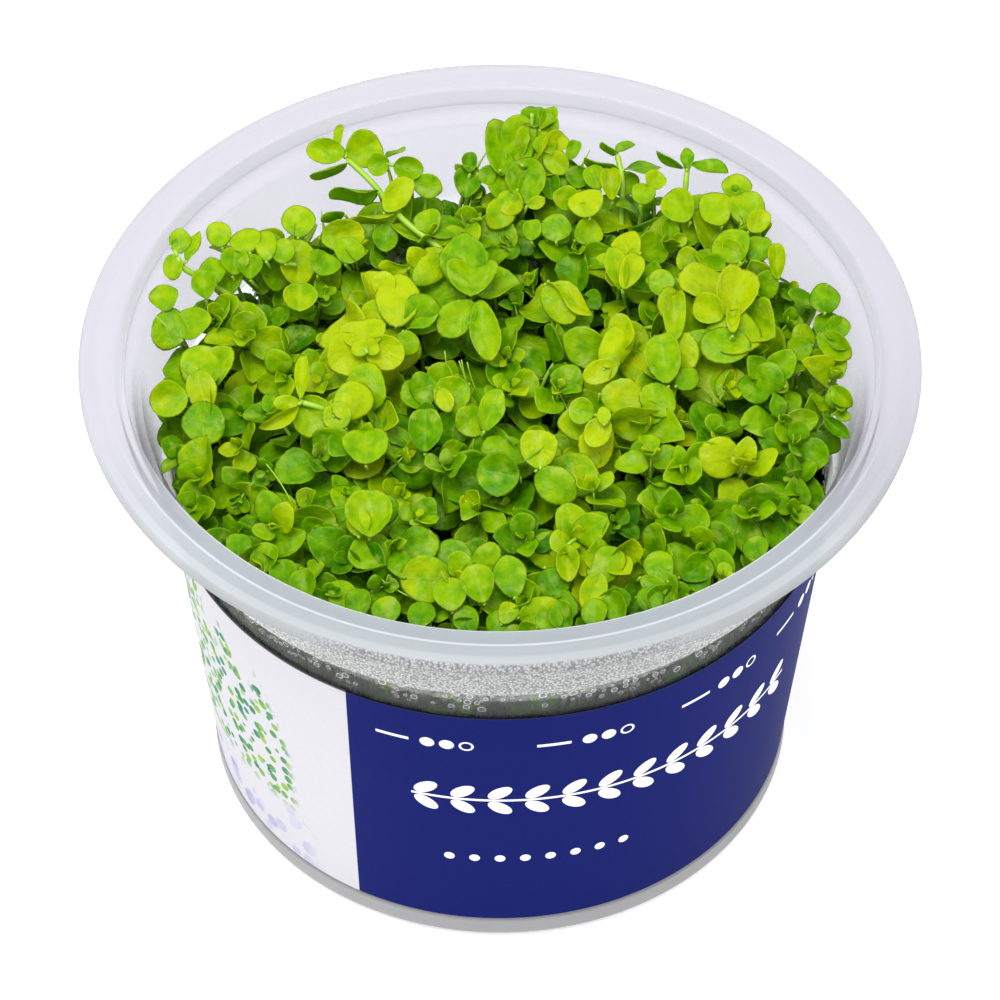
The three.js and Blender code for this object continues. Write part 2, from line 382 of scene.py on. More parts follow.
def milky_finish():
    """The rim and the top of the collar: milky at the back, with painted shade in the groove and in a line
    inside the collar; at the front banded in grey as painted shade, with painted highlights on its edges.
    """
    milky = Finish("milky_plastic", Roughness=0.5, IOR=1.49, Transmission_Weight=0.5, Specular_IOR_Level=0.15)
    x, y, z = milky.axes(milky.place())
    out = (x ** 2 + y ** 2) ** 0.5 / MM
    height = z / MM
    # The front, where less light passes straight through and the rim shows painted grey bands of shade
    # instead
    front = 1 - milky.step(y, *RIM_FRONT)
    nearest = 1 - milky.step(y, *RIM_NEAREST)
    bands = (3.2, 2.8), (1.7, 1.4), (0.8, 0.5)
    slope, side, under = (milky.step(out, RIM_RADIUS - start, RIM_RADIUS - end) for start, end in bands)
    tint = milky.blend(slope, RIM_TOP, RIM_SLOPE)
    tint = milky.blend(side, tint, RIM_SIDE)
    tint = milky.blend(under * nearest, tint, mist_glints_and_shade(milky, milky.cells(0.3)))
    tint = milky.blend(under * (1 - nearest), tint, RIM_UNDER)
    tint = milky.blend(front, MILKY, tint)
    # Painted highlights: thin bright lines on the lip and the rim's edge at the front
    edges = milky.line(out, LIP_RADIUS + 0.1, 0.3) + milky.line(out, RIM_RADIUS - 3.0, 0.24)
    edges = edges * front * milky.step(z, *EDGE_HIGHLIGHTS_FROM)
    tint = milky.blend(edges, tint, EDGE_HIGHLIGHT)
    # Painted shade in the groove at the ledge, at the back
    groove_shade = milky.line(height, LEDGE_HEIGHT, 1.6) * (1 - front)
    tint = milky.blend(groove_shade * 0.5, tint, GROOVE_SHADE)
    # Painted shade: a thin dark line on the inside of the collar, above the ledge
    inner = 1 - milky.step(out, LIP_RADIUS + 0.3, LIP_RADIUS + 0.5)
    collar_shade_line = milky.line(height, LEDGE_HEIGHT + 1.7, 0.3) * inner
    milky.set(Base_Color=milky.blend(collar_shade_line * 0.8, tint, COLLAR_SHADE_LINE))
    milky.see_through(0.7 - front * 0.42 - collar_shade_line * 0.15 + groove_shade * 0.06, (0.73, 0.725, 0.76))
    return milky.material


def misted_finish():
    """The collar's upright part, beaded with fine mist at the front, its beads with painted glints and
    painted shade, and a painted highlight along the shoulder.
    """
    misted = Finish(
        "misted_plastic", Roughness=0.35, IOR=1.49, Transmission_Weight=0.35, Specular_IOR_Level=0.2
    )
    _, y, z = misted.axes(misted.place())
    mist = misted.step(z, *MIST_FOOT) * (1 - misted.step(z, *MIST_TOP))
    mist = mist * (1 - misted.step(y, *MIST_FRONT))
    bead = misted.cells(0.3)
    tint = misted.blend(mist, MILKY, mist_glints_and_shade(misted, bead))
    # A painted highlight along the shoulder below the mist
    shoulder_highlight = misted.line(z / MM, SHOULDER_HEIGHT + 0.55, 0.4)
    misted.set(
        Base_Color=misted.blend(shoulder_highlight, tint, (0.7, 0.7, 0.71)),
        Normal=misted.bump(misted.step(bead, 0.12, 0.5) * mist, 0.7, 0.05),
    )
    misted.see_through((1 - mist) * 0.76, (0.755, 0.75, 0.785))
    return misted.material


def clear_finish():
    """The tapered wall, clear enough to see the leaves behind it."""
    clear = Finish("clear_plastic", Roughness=0.1, IOR=1.49, Transmission_Weight=0.8, Specular_IOR_Level=0.35)
    clear.set(Base_Color=(0.72, 0.73, 0.74))
    clear.see_through(0.82, (0.98, 0.98, 0.98))
    return clear.material


def heel_finish():
    """The thicker foot under the label."""
    heel = Finish("foot_plastic", Roughness=0.4, IOR=1.49, Transmission_Weight=0.2, Specular_IOR_Level=0.3)
    heel.set(Base_Color=heel.blend(heel.noise(8.0, 2), (0.30, 0.30, 0.31), (0.35, 0.35, 0.36)))
    return heel.material


def gel_finish():
    gel = Finish("growing_gel", Roughness=0.3, IOR=1.34, Transmission_Weight=0.35)
    cloud = gel.noise(6.0, 3)
    colour = gel.blend(cloud, linear(238, 240, 232), linear(250, 250, 246))
    gel.set(Base_Color=colour, Normal=gel.bump(cloud, 0.2, 0.3))
    return gel.material


def bead_finish():
    """Water, with a painted highlight on its rim and painted shade in its middle, as a bead on clear plastic
    shows.
    """
    bead = Finish("water_bead", Roughness=0.1, IOR=1.33, Transmission_Weight=0.1, Specular_IOR_Level=0.15)
    rim = bead.attribute("rim")
    stops = (0.0, (0.14, 0.19, 0.08)), (0.4, (0.05, 0.06, 0.03)), (0.8, (1.0, 1.0, 1.0))
    bead.set(Base_Color=bead.ramp(rim, *stops))
    bead.see_through((1 - bead.step(rim, 0.05, 0.35)) * 0.8, (0.92, 0.95, 0.9))
    return bead.material


# Print on the label: angles in degrees from the front, the rest in millimetres along it and up
PRINT_RADIUS = 39.0
NAVY_FROM, NAVY_TO, NAVY_LEAN = -28.7, 150.0, 2.0
DOT_GROUPS = (-8.5, 10.5, 28.5, 44.5)
DOT_GROUP_ROW, DOT_STEP, DOT_RADIUS, RING_HOLE = 40.4, 2.3, 0.87, 0.61
BAND_ROW, BAND_PITCH, BAND_FROM, BAND_TO = 29.4, 4.5, -10.8, 42.4
BAND_LEAF, BAND_LEAF_RISE, BAND_LEAF_LEAN = (1.75, 0.95), 1.55, radians(38)
LOW_ROW, LOW_DOT_STEP, LOW_DOT_RADIUS, LOW_FROM, LOW_TO = 17.0, 3.2, 0.67, -8.0, 17.6


def label_finish():
    label = Finish("printed_label", Roughness=0.5, Specular_IOR_Level=0.02)
    x, y, z = label.axes(label.place())
    angle = label.math("ARCTAN2", x, 0 - y) * (180 / pi)
    along = angle * (pi / 180 * PRINT_RADIUS)
    height = z / MM
    edge = (height - LABEL_BOTTOM) * (NAVY_LEAN / (LABEL_TOP - LABEL_BOTTOM)) + NAVY_FROM
    navy = label.step(angle - edge, 0.0, 0.12) * (1 - label.step(angle, NAVY_TO, NAVY_TO + 0.12))
    grain = label.noise(0.5, 2)
    ink = label.blend(grain, linear(12, 22, 90), linear(17, 27, 98))
    marks = sprig_band(label, along, height) + dot_groups(label, along, height)
    marks = marks + low_dots(label, along, height)
    ink = label.blend(marks, ink, linear(240, 241, 246))
    paper = label.blend(grain, linear(194, 193, 199), linear(200, 199, 204))
    sheet = label.blend(navy, leafy_print(label, paper, along, height), ink)
    # A painted shadow along the label's top edge, where it stands off the wall
    top = label.step(height, LABEL_TOP - 0.22, LABEL_TOP - 0.12)
    colour = label.blend(top * 0.8, sheet, linear(40, 42, 50))
    label.set(Base_Color=colour, Normal=label.bump(grain, 0.08, 0.02))
    return label.material


def disc(label, across, up, radius):
    """A round dot with a soft edge, and the distance to its middle."""
    reach = (across ** 2 + up ** 2) ** 0.5
    return 1 - label.step(reach, radius - 0.05, radius + 0.05), reach


def dot_groups(label, along, height):
    """Groups of three small dots, the last of each a ring, with a short rule before them."""
    marks = []
    for group in DOT_GROUPS:
        for number in range(3):
            dot, reach = disc(label, along - (group + DOT_STEP * number), height - DOT_GROUP_ROW, DOT_RADIUS)
            if number == 2:
                dot = dot * label.step(reach, RING_HOLE - 0.05, RING_HOLE + 0.05)
            marks.append(dot)
        rule = label.span(height, DOT_GROUP_ROW - 0.25, DOT_GROUP_ROW + 0.25)
        marks.append(label.span(along, group - 6.2, group - 2.2) * rule)
    return sum(marks)


def low_dots(label, along, height):
    """A row of small dots low on the label."""
    beat = label.math("WRAP", along, LOW_DOT_STEP / 2, -LOW_DOT_STEP / 2)
    dot, _ = disc(label, beat, height - LOW_ROW, LOW_DOT_RADIUS)
    return dot * label.span(along, LOW_FROM, LOW_TO)


def sprig_band(label, along, height):
    """A plain stem with small leaves in opposite pairs, repeated along a row."""
    beat = label.math("WRAP", along, BAND_PITCH / 2, -BAND_PITCH / 2)
    rise = abs(height - BAND_ROW)
    up = rise - BAND_LEAF_RISE
    turn, lift = cos(BAND_LEAF_LEAN), sin(BAND_LEAF_LEAN)
    out = beat * turn + up * lift
    side = up * turn - beat * lift
    leaf = 1 - label.step((out / BAND_LEAF[0]) ** 2 + (side / BAND_LEAF[1]) ** 2, 0.9, 1.0)
    stalk = 1 - label.step(rise, 0.16, 0.24)
    return label.math("MAXIMUM", leaf, stalk) * label.span(along, BAND_FROM, BAND_TO)


def leafy_print(label, paper, along, height):
    """Round dabs of green in loose columns over lilac pebbles, on the white part."""
    flat = label.node("ShaderNodeCombineXYZ", None, {0: along * MM, 1: height * MM})
    wander = label.noise(6.0, 2, flat)
    wash = label.noise(1.2, 2, flat)
    column = abs(label.math("WRAP", along + wander * 5 + 2.0, 3.4, -3.4))
    top = height + column * 2.6 + (along + 40) * 0.55
    tint = label.axes(label.cells(1.5, flat, "Color"))[0]
    greens = (0.0, linear(8, 112, 88)), (0.45, linear(30, 130, 50)), (1.0, linear(140, 180, 40))
    green = label.ramp(tint, *greens)
    plants = (1 - label.step(label.cells(1.5, flat), 0.42, 0.5)) * (1 - label.step(top, 41, 44))
    plants = plants * label.step(height, 13, 16)
    plants = plants * label.step(along, -62, -60) * (1 - label.step(along, -29.5, -27.5))
    paper = label.blend(plants * (wash * 0.6 + 0.6), paper, green)
    shade = label.axes(label.cells(3.0, flat, "Color"))[1]
    lilac = label.blend(shade, linear(110, 106, 176), linear(184, 184, 214))
    stones = (1 - label.step(label.cells(3.0, flat), 0.36, 0.48)) * (1 - label.step(along, -30, -24))
    stones = stones * (1 - label.step(height + wander * 8, 15, 17))
    return label.blend(stones * (wash * 0.5 + 0.3), paper, lilac)


# Meshes

def mesh_piece(name, points, faces, finishes, stands_for=(), smooth=True, face_finish=None):
    """An object in metres from points in millimetres, riding on the part's one body."""
    mesh = bpy.data.meshes.new(name)
    mesh.from_pydata((np.asarray(points) * MM).tolist(), [], faces)
    if smooth:
        mesh.shade_smooth()
    for finish in finishes:
        mesh.materials.append(finish)
    if face_finish is not None:
        mesh.polygons.foreach_set("material_index", face_finish)
    mesh.update()
    piece = bpy.data.objects.new(name, mesh)
    bpy.context.scene.collection.objects.link(piece)
    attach(piece, "root")
    if stands_for:
        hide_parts(*stands_for)
    return mesh


def give_points(mesh, name, values):
    """Stores a number for each point of a mesh, for its finish to read."""
    mesh.attributes.new(name, "FLOAT", "POINT").data.foreach_set("value", values)


def unit(vector):
    return vector / norm(vector)


def rounded(outline, radius, steps=4):
    """An open outline with each inner corner turned into a small arc."""
    outline = [np.array(point, float) for point in outline]
    made = [outline[0]]
    for before, corner, after in zip(outline, outline[1:], outline[2:]):
        back, on = before - corner, after - corner
        cut = min(radius, 0.45 * norm(back), 0.45 * norm(on))
        start, end = corner + unit(back) * cut, corner + unit(on) * cut
        for step in range(steps + 1):
            t = step / steps
            made.append((1 - t) ** 2 * start + 2 * t * (1 - t) * corner + t ** 2 * end)
    return made + [outline[-1]]


def around(radius, angle, height):
    """A point at a radius from the cup's axis."""
    return radius * cos(angle), radius * sin(angle), height


def turns(count):
    """Evenly spaced angles round a circle."""
    return [2 * pi * step / count for step in range(count)]


def numbered(first, rows, count):
    """Rings of point numbers, each ring after the one before."""
    return [list(range(first + row * count, first + (row + 1) * count)) for row in range(rows)]


def skin_between(rings, flipped=False):
    """Faces from each ring of point numbers to the next, where a ring may be one point repeated."""
    faces = []
    for low, high in zip(rings, rings[1:]):
        for step in range(len(low)):
            after = (step + 1) % len(low)
            corners = [low[step], low[after], high[after], high[step]]
            if flipped:
                corners[1:] = corners[:0:-1]
            faces.append(list(dict.fromkeys(corners)))
    return faces


def turned(outline, segments):
    """Points and faces of an outline of radius and height turned about the cup's axis."""
    points, rings = [], []
    for radius, height in outline:
        if radius < 1e-6:
            rings.append([len(points)] * segments)
            points.append((0, 0, height))
        else:
            rings += numbered(len(points), 1, segments)
            points += [around(radius, turn, height) for turn in turns(segments)]
    return points, skin_between(rings)


def make_cup(milky, misted, clear, heel):
    points, faces = turned(rounded(OUTSIDE + INSIDE, 0.5), CUP_SEGMENTS)
    heights = np.array([np.mean([points[corner][2] for corner in face]) for face in faces])
    finishes = [milky, misted, clear, heel]
    kinds = np.full(len(faces), finishes.index(milky))
    for finish, top in (misted, LEDGE_HEIGHT - 0.4), (clear, SHOULDER_HEIGHT + 0.2), (heel, HEEL_TOP):
        kinds[heights < top] = finishes.index(finish)
    mesh_piece("cup_shell", points, faces, finishes, ["cup"], face_finish=kinds)


# The strip's seam, its lap and where its end lifts, in degrees; its lift, gap and thickness in millimetres
LABEL_STEPS = 300
LABEL_SEAM = 168.0
LABEL_LAP = 7.0
LIFT_FROM, LIFT_TO = 352.0, 358.0
LABEL_LIFT = 0.12
LABEL_GAP = 0.05
LABEL_SKIN = 0.23


def make_label(finish):
    """A strip wrapped once round the wall, its end lapped over its start at the back."""
    points = []
    for step in range(LABEL_STEPS + 1):
        turn = step / LABEL_STEPS * (360 + LABEL_LAP)
        angle = radians(LABEL_SEAM - 90 + turn)
        lift = LABEL_LIFT * min(1.0, max(0.0, (turn - LIFT_FROM) / (LIFT_TO - LIFT_FROM)))
        for height, out in ((LABEL_BOTTOM, 0), (LABEL_TOP, 0), (LABEL_TOP, 1), (LABEL_BOTTOM, 1)):
            radius = wall_radius(height) + LABEL_GAP + lift + out * LABEL_SKIN
            points.append(around(radius, angle, height))
    rows = numbered(0, LABEL_STEPS + 1, 4)
    faces = skin_between(rows, flipped=True) + [rows[0], rows[-1][::-1]]
    mesh_piece("wrapped_label", points, faces, [finish], ["label"], smooth=False)


def make_gel(finish):
    """The gel fills the foot of the cup, a little higher at the wall than in the middle."""
    bottom = FLOOR_TOP + 0.05
    radius = [wall_radius(height) - WALL - 0.05 for height in (bottom, bottom + 1, GEL_TOP)]
    outline = [
        (0, bottom), (radius[0] - 1.1, bottom), (radius[1], bottom + 1),
        (radius[2], GEL_TOP), (radius[2] - 1.2, GEL_TOP - 0.35), (0, GEL_TOP - 0.5),
    ]
    points, faces = turned(rounded(outline, 0.6), 120)
    mesh_piece("gel_layer", points, faces, [finish], ["nutrient_gel"])


# Condensation

# Lowest and highest height, count, smallest and largest radius
BEAD_BANDS = [(46.6, 51.0, 4200, 0.24, 0.6), (20.0, 46.6, 500, 0.15, 0.4)]
BEAD_SIDES = 7
# Rings of a bead from the wall inward: share of its radius, depth, and brightness, which paints a highlight
# on the rim and shade in the middle
BEAD_RINGS = [(0.5, 0.0, 0.1), (0.76, 0.0, 1.0), (1.0, 0.0, 0.35), (0.8, 0.5, 0.75), (0.45, 0.8, 0.3)]
BEAD_DEPTH = 0.9


def bead_places(rng):
    """Angle, height and radius of each bead, and the wall's radius there, in clumps and clear of others."""
    placed = {}
    for low, high, count, smallest, largest in BEAD_BANDS:
        for _ in range(count):
            angle, height = rng.uniform(0, 2 * pi), rng.uniform(low, high)
            clumping = 0.5 + 0.5 * sin(angle * 19 + 2 * sin(angle * 7) + height * 0.4)
            if rng.random() > 0.06 + 0.94 * clumping ** 2:
                continue
            size = smallest + (largest - smallest) * rng.random() ** 1.3
            wall = float(room_radius(height)) - 0.01
            along = wall * angle
            column, row = int(along), int(height)
            cells = [(column + i, row + j) for i in (-1, 0, 1) for j in (-1, 0, 1)]
            near = [bead for cell in cells for bead in placed.get(cell, [])]
            if any((along - a) ** 2 + (height - h) ** 2 < (size + r) ** 2 for a, h, r in near):
                continue
            placed.setdefault((column, row), []).append((along, height, size))
            yield angle, height, size, wall


def make_beads(finish):
    """Beads of condensation, small domes against the inside of the cup's wall."""
    points, faces, painted_bead_light = [], [], []
    for angle, height, size, wall in bead_places(random.Random(SEED + 1)):
        slope = (float(room_radius(height + 0.3)) - float(room_radius(height - 0.3))) / 0.6
        rings = numbered(len(points), len(BEAD_RINGS), BEAD_SIDES)
        for share, depth, rim in BEAD_RINGS:
            for turn in turns(BEAD_SIDES):
                u, v = size * share * cos(turn), size * share * sin(turn)
                reach = wall + v * slope - depth * size
                points.append(around(reach, angle + u / wall, height + v))
                painted_bead_light.append(rim)
        faces.append(rings[0])
        faces += skin_between(rings + [[len(points)] * BEAD_SIDES], flipped=True)
        points.append(around(wall - size * BEAD_DEPTH, angle, height))
        painted_bead_light.append(0.0)
    give_points(mesh_piece("condensation", points, faces, [finish]), "rim", painted_bead_light)


# Foliage

def blade_template(rings, sides):
    """A closed blade over a disc: each point's radius, angle and side, and the faces."""
    circle = turns(sides)
    points = [(0.0, 0.0, 1.0)]
    points += [(ring, turn, 0.0 if ring == rings[-1] else 1.0) for ring in rings for turn in circle]
    middle = len(points)
    points += [(0.0, 0.0, -1.0)] + [(ring, turn, -1.0) for ring in rings[:-1] for turn in circle]
    top = [[0] * sides] + numbered(1, len(rings), sides)
    under = [[middle] * sides] + numbered(middle + 1, len(rings) - 1, sides) + [top[-1]]
    faces = skin_between(top, flipped=True) + [face[::-1] for face in skin_between(under, flipped=True)]
    return (*np.array(points).T, faces)


FINE_BLADE = blade_template((0.36, 0.7, 0.9, 1.0), 18)
PLAIN_BLADE = blade_template((0.62, 1.0), 12)


def shaped_blades(template, leaves):
    """Points of many leaves as one array, leaf by leaf."""
    radius, angle, side, _ = template
    forms = ("length", "width", "bend", "cup", "ripple", "phase", "fold", "lobe", "point")
    length, width, bend, cup, ripple, phase, fold, lobe, point = (
        np.array([getattr(leaf, form) for leaf in leaves])[:, None] for form in forms
    )
    uneven = 1 + lobe * radius * np.cos(3 * angle + 2 * phase)
    along = 0.5 + 0.5 * radius * np.cos(angle) * (1 + 0.5 * lobe * np.cos(2 * angle - phase))
    spread = 0.5 * radius * np.sin(angle) * (0.76 + 0.5 * along - 0.24 * along ** 2) * uneven
    spread = spread * (1 - point * along ** 3)
    lift = -bend * along ** 2 + cup * radius ** 2 * (0.35 + 0.65 * np.abs(np.sin(angle)))
    lift = lift + fold * np.abs(2 * spread) + ripple * radius ** 3 * np.sin(3 * angle + phase)
    body = side * 0.5 * LEAF_THICKNESS * (1 - 0.55 * radius ** 2)
    local = np.stack([length * along, width * spread, length * lift + body], axis=2)
    axes = np.array([leaf.axes for leaf in leaves])
    seats = np.array([leaf.seat for leaf in leaves])
    return np.einsum("nij,nvj->nvi", axes, local) + seats[:, None, :]


def eased_in(points):
    """Moves each leaf that would reach through the wall toward the cup's axis, and down from the top."""
    reach = np.hypot(points[..., 0], points[..., 1])
    excess = (reach - room_radius(points[..., 2]) + WALL_CLEARANCE).max(axis=1).clip(0, MOST_EASED)
    centre = points.mean(axis=1)[:, :2]
    inward = centre / np.maximum(norm(centre, axis=1), 1e-6)[:, None]
    points[..., :2] -= (inward * excess[:, None])[:, None, :]
    points[..., 2] -= (points[..., 2] - MODEL_TOP + TOP_CLEARANCE).max(axis=1).clip(0)[:, None]
    return points


def kept_in_cup(points):
    """Presses what would pass through the wall flat against its inside."""
    reach = np.hypot(points[..., 0], points[..., 1])
    room = room_radius(points[..., 2]) - WALL_CLEARANCE
    share = np.where(reach > room, room / np.maximum(reach, 1e-6), 1.0)
    points[..., :2] *= share[..., None]
    points[..., 2] = np.minimum(points[..., 2], MODEL_TOP - TOP_CLEARANCE)
    return points


def stem_path(root, crown, lean, steps=12):
    """Points of a stem that rises from its root and ends at its crown in the direction it leans."""
    height = crown[2] - root[2]
    first = root + np.array([0, 0, 0.42 * height])
    last = crown - lean * 0.32 * height
    t = np.linspace(0, 1, steps + 1)[:, None]
    return (1 - t) ** 3 * root + 3 * t * (1 - t) ** 2 * first + 3 * t ** 2 * (1 - t) * last + t ** 3 * crown


def along_path(path, distance):
    """Point and direction at a distance back from the end of a path."""
    lengths = norm(np.diff(path, axis=0), axis=1)
    reach = np.concatenate([[0], np.cumsum(lengths)])
    target = max(reach[-1] - distance, 0.0)
    step = min(int(np.searchsorted(reach, target, side="right")) - 1, len(lengths) - 1)
    share = (target - reach[step]) / lengths[step]
    point = path[step] + share * (path[step + 1] - path[step])
    return point, unit(path[step + 1] - path[step])


def tube(path, radii, sides=6):
    """Points and faces of a closed round stem along a path."""
    points = []
    for step, centre in enumerate(path):
        ahead = path[min(step + 1, len(path) - 1)] - path[max(step - 1, 0)]
        one = unit(np.cross(ahead, [0.3, 1, 0.1]))
        two = unit(np.cross(ahead, one))
        points += [centre + radii[step] * (one * cos(turn) + two * sin(turn)) for turn in turns(sides)]
    rings = numbered(0, len(path), sides)
    return points, skin_between(rings) + [rings[0][::-1], rings[-1]]


# Leaf pairs from the tip down: distance from the tip, share of full size, pitch in degrees
PAIRS = [
    (0.1, 0.32, 62), (0.5, 0.60, 46), (1.7, 0.90, 28), (3.9, 1.0, 14), (7.2, 0.96, 6),
    (11.0, 0.92, 2), (15.0, 0.88, 0), (19.5, 0.84, -4),
]
FINE_PAIRS = 6
PLAIN_FINE_PAIRS = 4
TURN_SPREAD, OPPOSITE_SPREAD, PITCH_SPREAD, ROLL_SPREAD = 0.2, 0.1, 16, 0.42
LENGTH_SPREAD = (0.78, 1.16)
# Tone of a leaf against its stem's: what it loses by each pair down, gains, and varies by
TONE_FALL, TONE_GAIN, TONE_SPREAD = 0.06, 0.08, 0.1
# Painted shade, the front of the mound deeper in tone: by how much, from where, and over how many millimetres
FRONT_PAINTED_SHADE, FRONT_FROM, FRONT_REACH = 0.08, -4, 20

# Form of a leaf, drawn between two values: shares of its length, and the turn of its outline
LEAF_FORM = {
    "width": (0.8, 1.08),
    "bend": (-0.16, 0.4),
    "cup": (-0.1, 0.24),
    "fold": (-0.06, 0.22),
    "ripple": (0.01, 0.09),
    "lobe": (0.02, 0.12),
    "point": (0.0, 0.4),
    "phase": (0, 2 * pi),
}

# Tables of the plants: places and widths are in tenths of a millimetre, turns and rolls in degrees, and
# leans, leaf sizes, spacings of pairs and tones in hundredths

# Each modelled shoot in turn: shift from its highest point, lean, leaf size, spacing, turn, tone
MAIN_HABIT = [
    (-6, -4, 0, -62, 25, 130, 150, 20, 75), (-18, 57, 30, -20, 20, 110, 120, 30, 60),
    (-19, -48, 20, 10, 10, 100, 110, 10, 40), (-2, 54, 0, 0, 5, 95, 80, 20, 70),
    (2, 10, 10, -5, 45, 115, 150, 0, 45), (0, 21, 10, 0, 35, 115, 130, 0, 45),
    (-16, 30, 10, -10, -30, 90, 110, 45, 60), (26, -26, 20, 0, -40, 115, 100, 90, 70),
    (-19, 3, 0, 0, -20, 110, 100, 0, 55), (8, 34, 10, 0, -30, 110, 100, 90, 60),
    (6, 0, 10, 10, -30, 100, 100, 0, 55), (-11, 21, 10, 20, -40, 115, 100, 45, 65),
    (23, -5, 30, 30, 0, 95, 110, 90, 55), (-43, -9, 45, -60, 0, 115, 120, 90, 60),
    (-32, -11, 45, -45, -20, 100, 100, 90, 65), (4, 20, 10, 0, -50, 110, 100, 90, 70),
    (-6, 13, 15, -10, -40, 110, 100, 0, 65), (15, 7, 5, -30, -40, 120, 100, 30, 75),
    (12, 55, 0, 0, -30, 95, 100, 0, 40), (-20, 37, 0, -20, -50, 110, 100, 90, 40),
    (-17, 48, 5, -30, -40, 100, 100, 60, 60), (16, -17, 0, 5, -35, 130, 90, 90, 55),
    (26, 13, 10, 10, -15, 130, 100, 20, 80), (14, 13, 10, 5, -40, 120, 90, 10, 60),
    (23, 25, 10, -10, -60, 145, 90, 20, 97), (8, 32, 10, -78, -5, 125, 140, 90, 90),
    (17, 16, 0, 0, -55, 100, 100, 0, 55), (-7, 26, 0, 0, -45, 115, 100, 0, 50),
    (-23, -1, 0, 10, -50, 105, 100, 90, 45), (-3, 5, 5, 0, -50, 125, 100, 80, 75),
    (1, -17, 10, 0, -55, 120, 100, 90, 85), (6, -4, 0, 5, -40, 120, 100, 70, 85),
    (26, 23, 15, 10, -20, 115, 100, 45, 60), (7, 25, 5, 0, -20, 95, 100, 0, 45),
    (8, -4, 10, 0, -35, 140, 100, 60, 95), (8, 43, 0, 0, -40, 130, 100, 0, 75),
    (-3, 16, 0, 10, -50, 100, 100, 45, 45), (12, 22, 5, 50, -10, 85, 110, 90, 60),
    (17, 34, 5, 50, -10, 75, 130, 60, 55), (11, 49, 0, 20, -40, 95, 100, 0, 45),
    (-4, 15, 0, 0, -40, 95, 100, 20, 45), (-4, 20, 0, 0, 0, 90, 110, 0, 60),
    (6, 24, 5, -10, -55, 115, 100, 90, 65), (30, 23, 0, 0, -50, 105, 100, 30, 60),
    (3, 20, 0, 20, -20, 85, 140, 45, 55), (-38, 56, 0, -10, -50, 110, 100, 0, 30),
    (-24, 17, 10, 0, -50, 120, 100, 0, 70), (41, 3, 5, 0, -40, 95, 100, 0, 40),
    (8, 14, 10, 0, -45, 120, 100, 100, 75), (-12, 61, 10, 0, -50, 120, 100, 60, 92),
    (8, 39, 5, 0, -50, 115, 100, 0, 50), (4, 18, -5, 0, -45, 110, 100, 90, 45),
]

# Side shoots that show: tip, lean, leaf size, spacing, turn, tone
SIDE_SHOOTS = [
    (7, 346, 655, -10, -10, 115, 100, 80, 60), (73, 351, 660, 20, 0, 90, 100, 30, 85),
    (23, 309, 635, 0, -30, 90, 100, 90, 60), (-91, 176, 630, 10, 10, 100, 120, 60, 70),
    (0, -135, 600, 0, -50, 135, 100, 0, 30), (145, 174, 640, 0, -10, 95, 100, 80, 85),
    (192, -4, 630, 0, -45, 110, 100, 90, 60), (287, -136, 615, 10, -30, 100, 100, 0, 90),
    (219, -141, 610, 0, -40, 90, 100, 40, 55), (335, -59, 605, 10, -40, 95, 100, 10, 50),
    (-174, -61, 625, -50, -30, 115, 120, 80, 70), (-89, -70, 600, 0, -50, 110, 100, 0, 20),
    (-124, -253, 595, 0, -40, 110, 110, 10, 50), (-23, -290, 585, 10, -50, 110, 100, 80, 60),
    (31, -326, 575, 0, -40, 120, 100, 0, 60), (180, -264, 585, 0, -50, 100, 100, 90, 65),
    (235, -248, 585, 10, -50, 110, 100, 10, 50), (343, -188, 585, 10, -40, 110, 100, 60, 45),
    (256, 269, 635, 0, -30, 100, 100, 20, 55), (307, 256, 635, 20, -20, 100, 100, 80, 50),
    (-310, 216, 615, -20, 0, 95, 110, 10, 60), (-343, 107, 605, -20, -40, 100, 100, 40, 55),
    (-178, 211, 620, -10, -20, 110, 100, 10, 65), (-398, -13, 600, -40, -40, 100, 100, 0, 60),
    (-364, -176, 575, -20, -40, 90, 100, 0, 50), (171, 288, 630, 0, 10, 80, 110, 10, 40),
    (93, 211, 615, 0, -40, 100, 100, 0, 50), (359, 52, 615, 10, -40, 90, 100, 70, 50),
    (14, -6, 605, 10, -30, 85, 110, 50, 60), (-212, -111, 600, 10, -30, 105, 110, 0, 35),
]

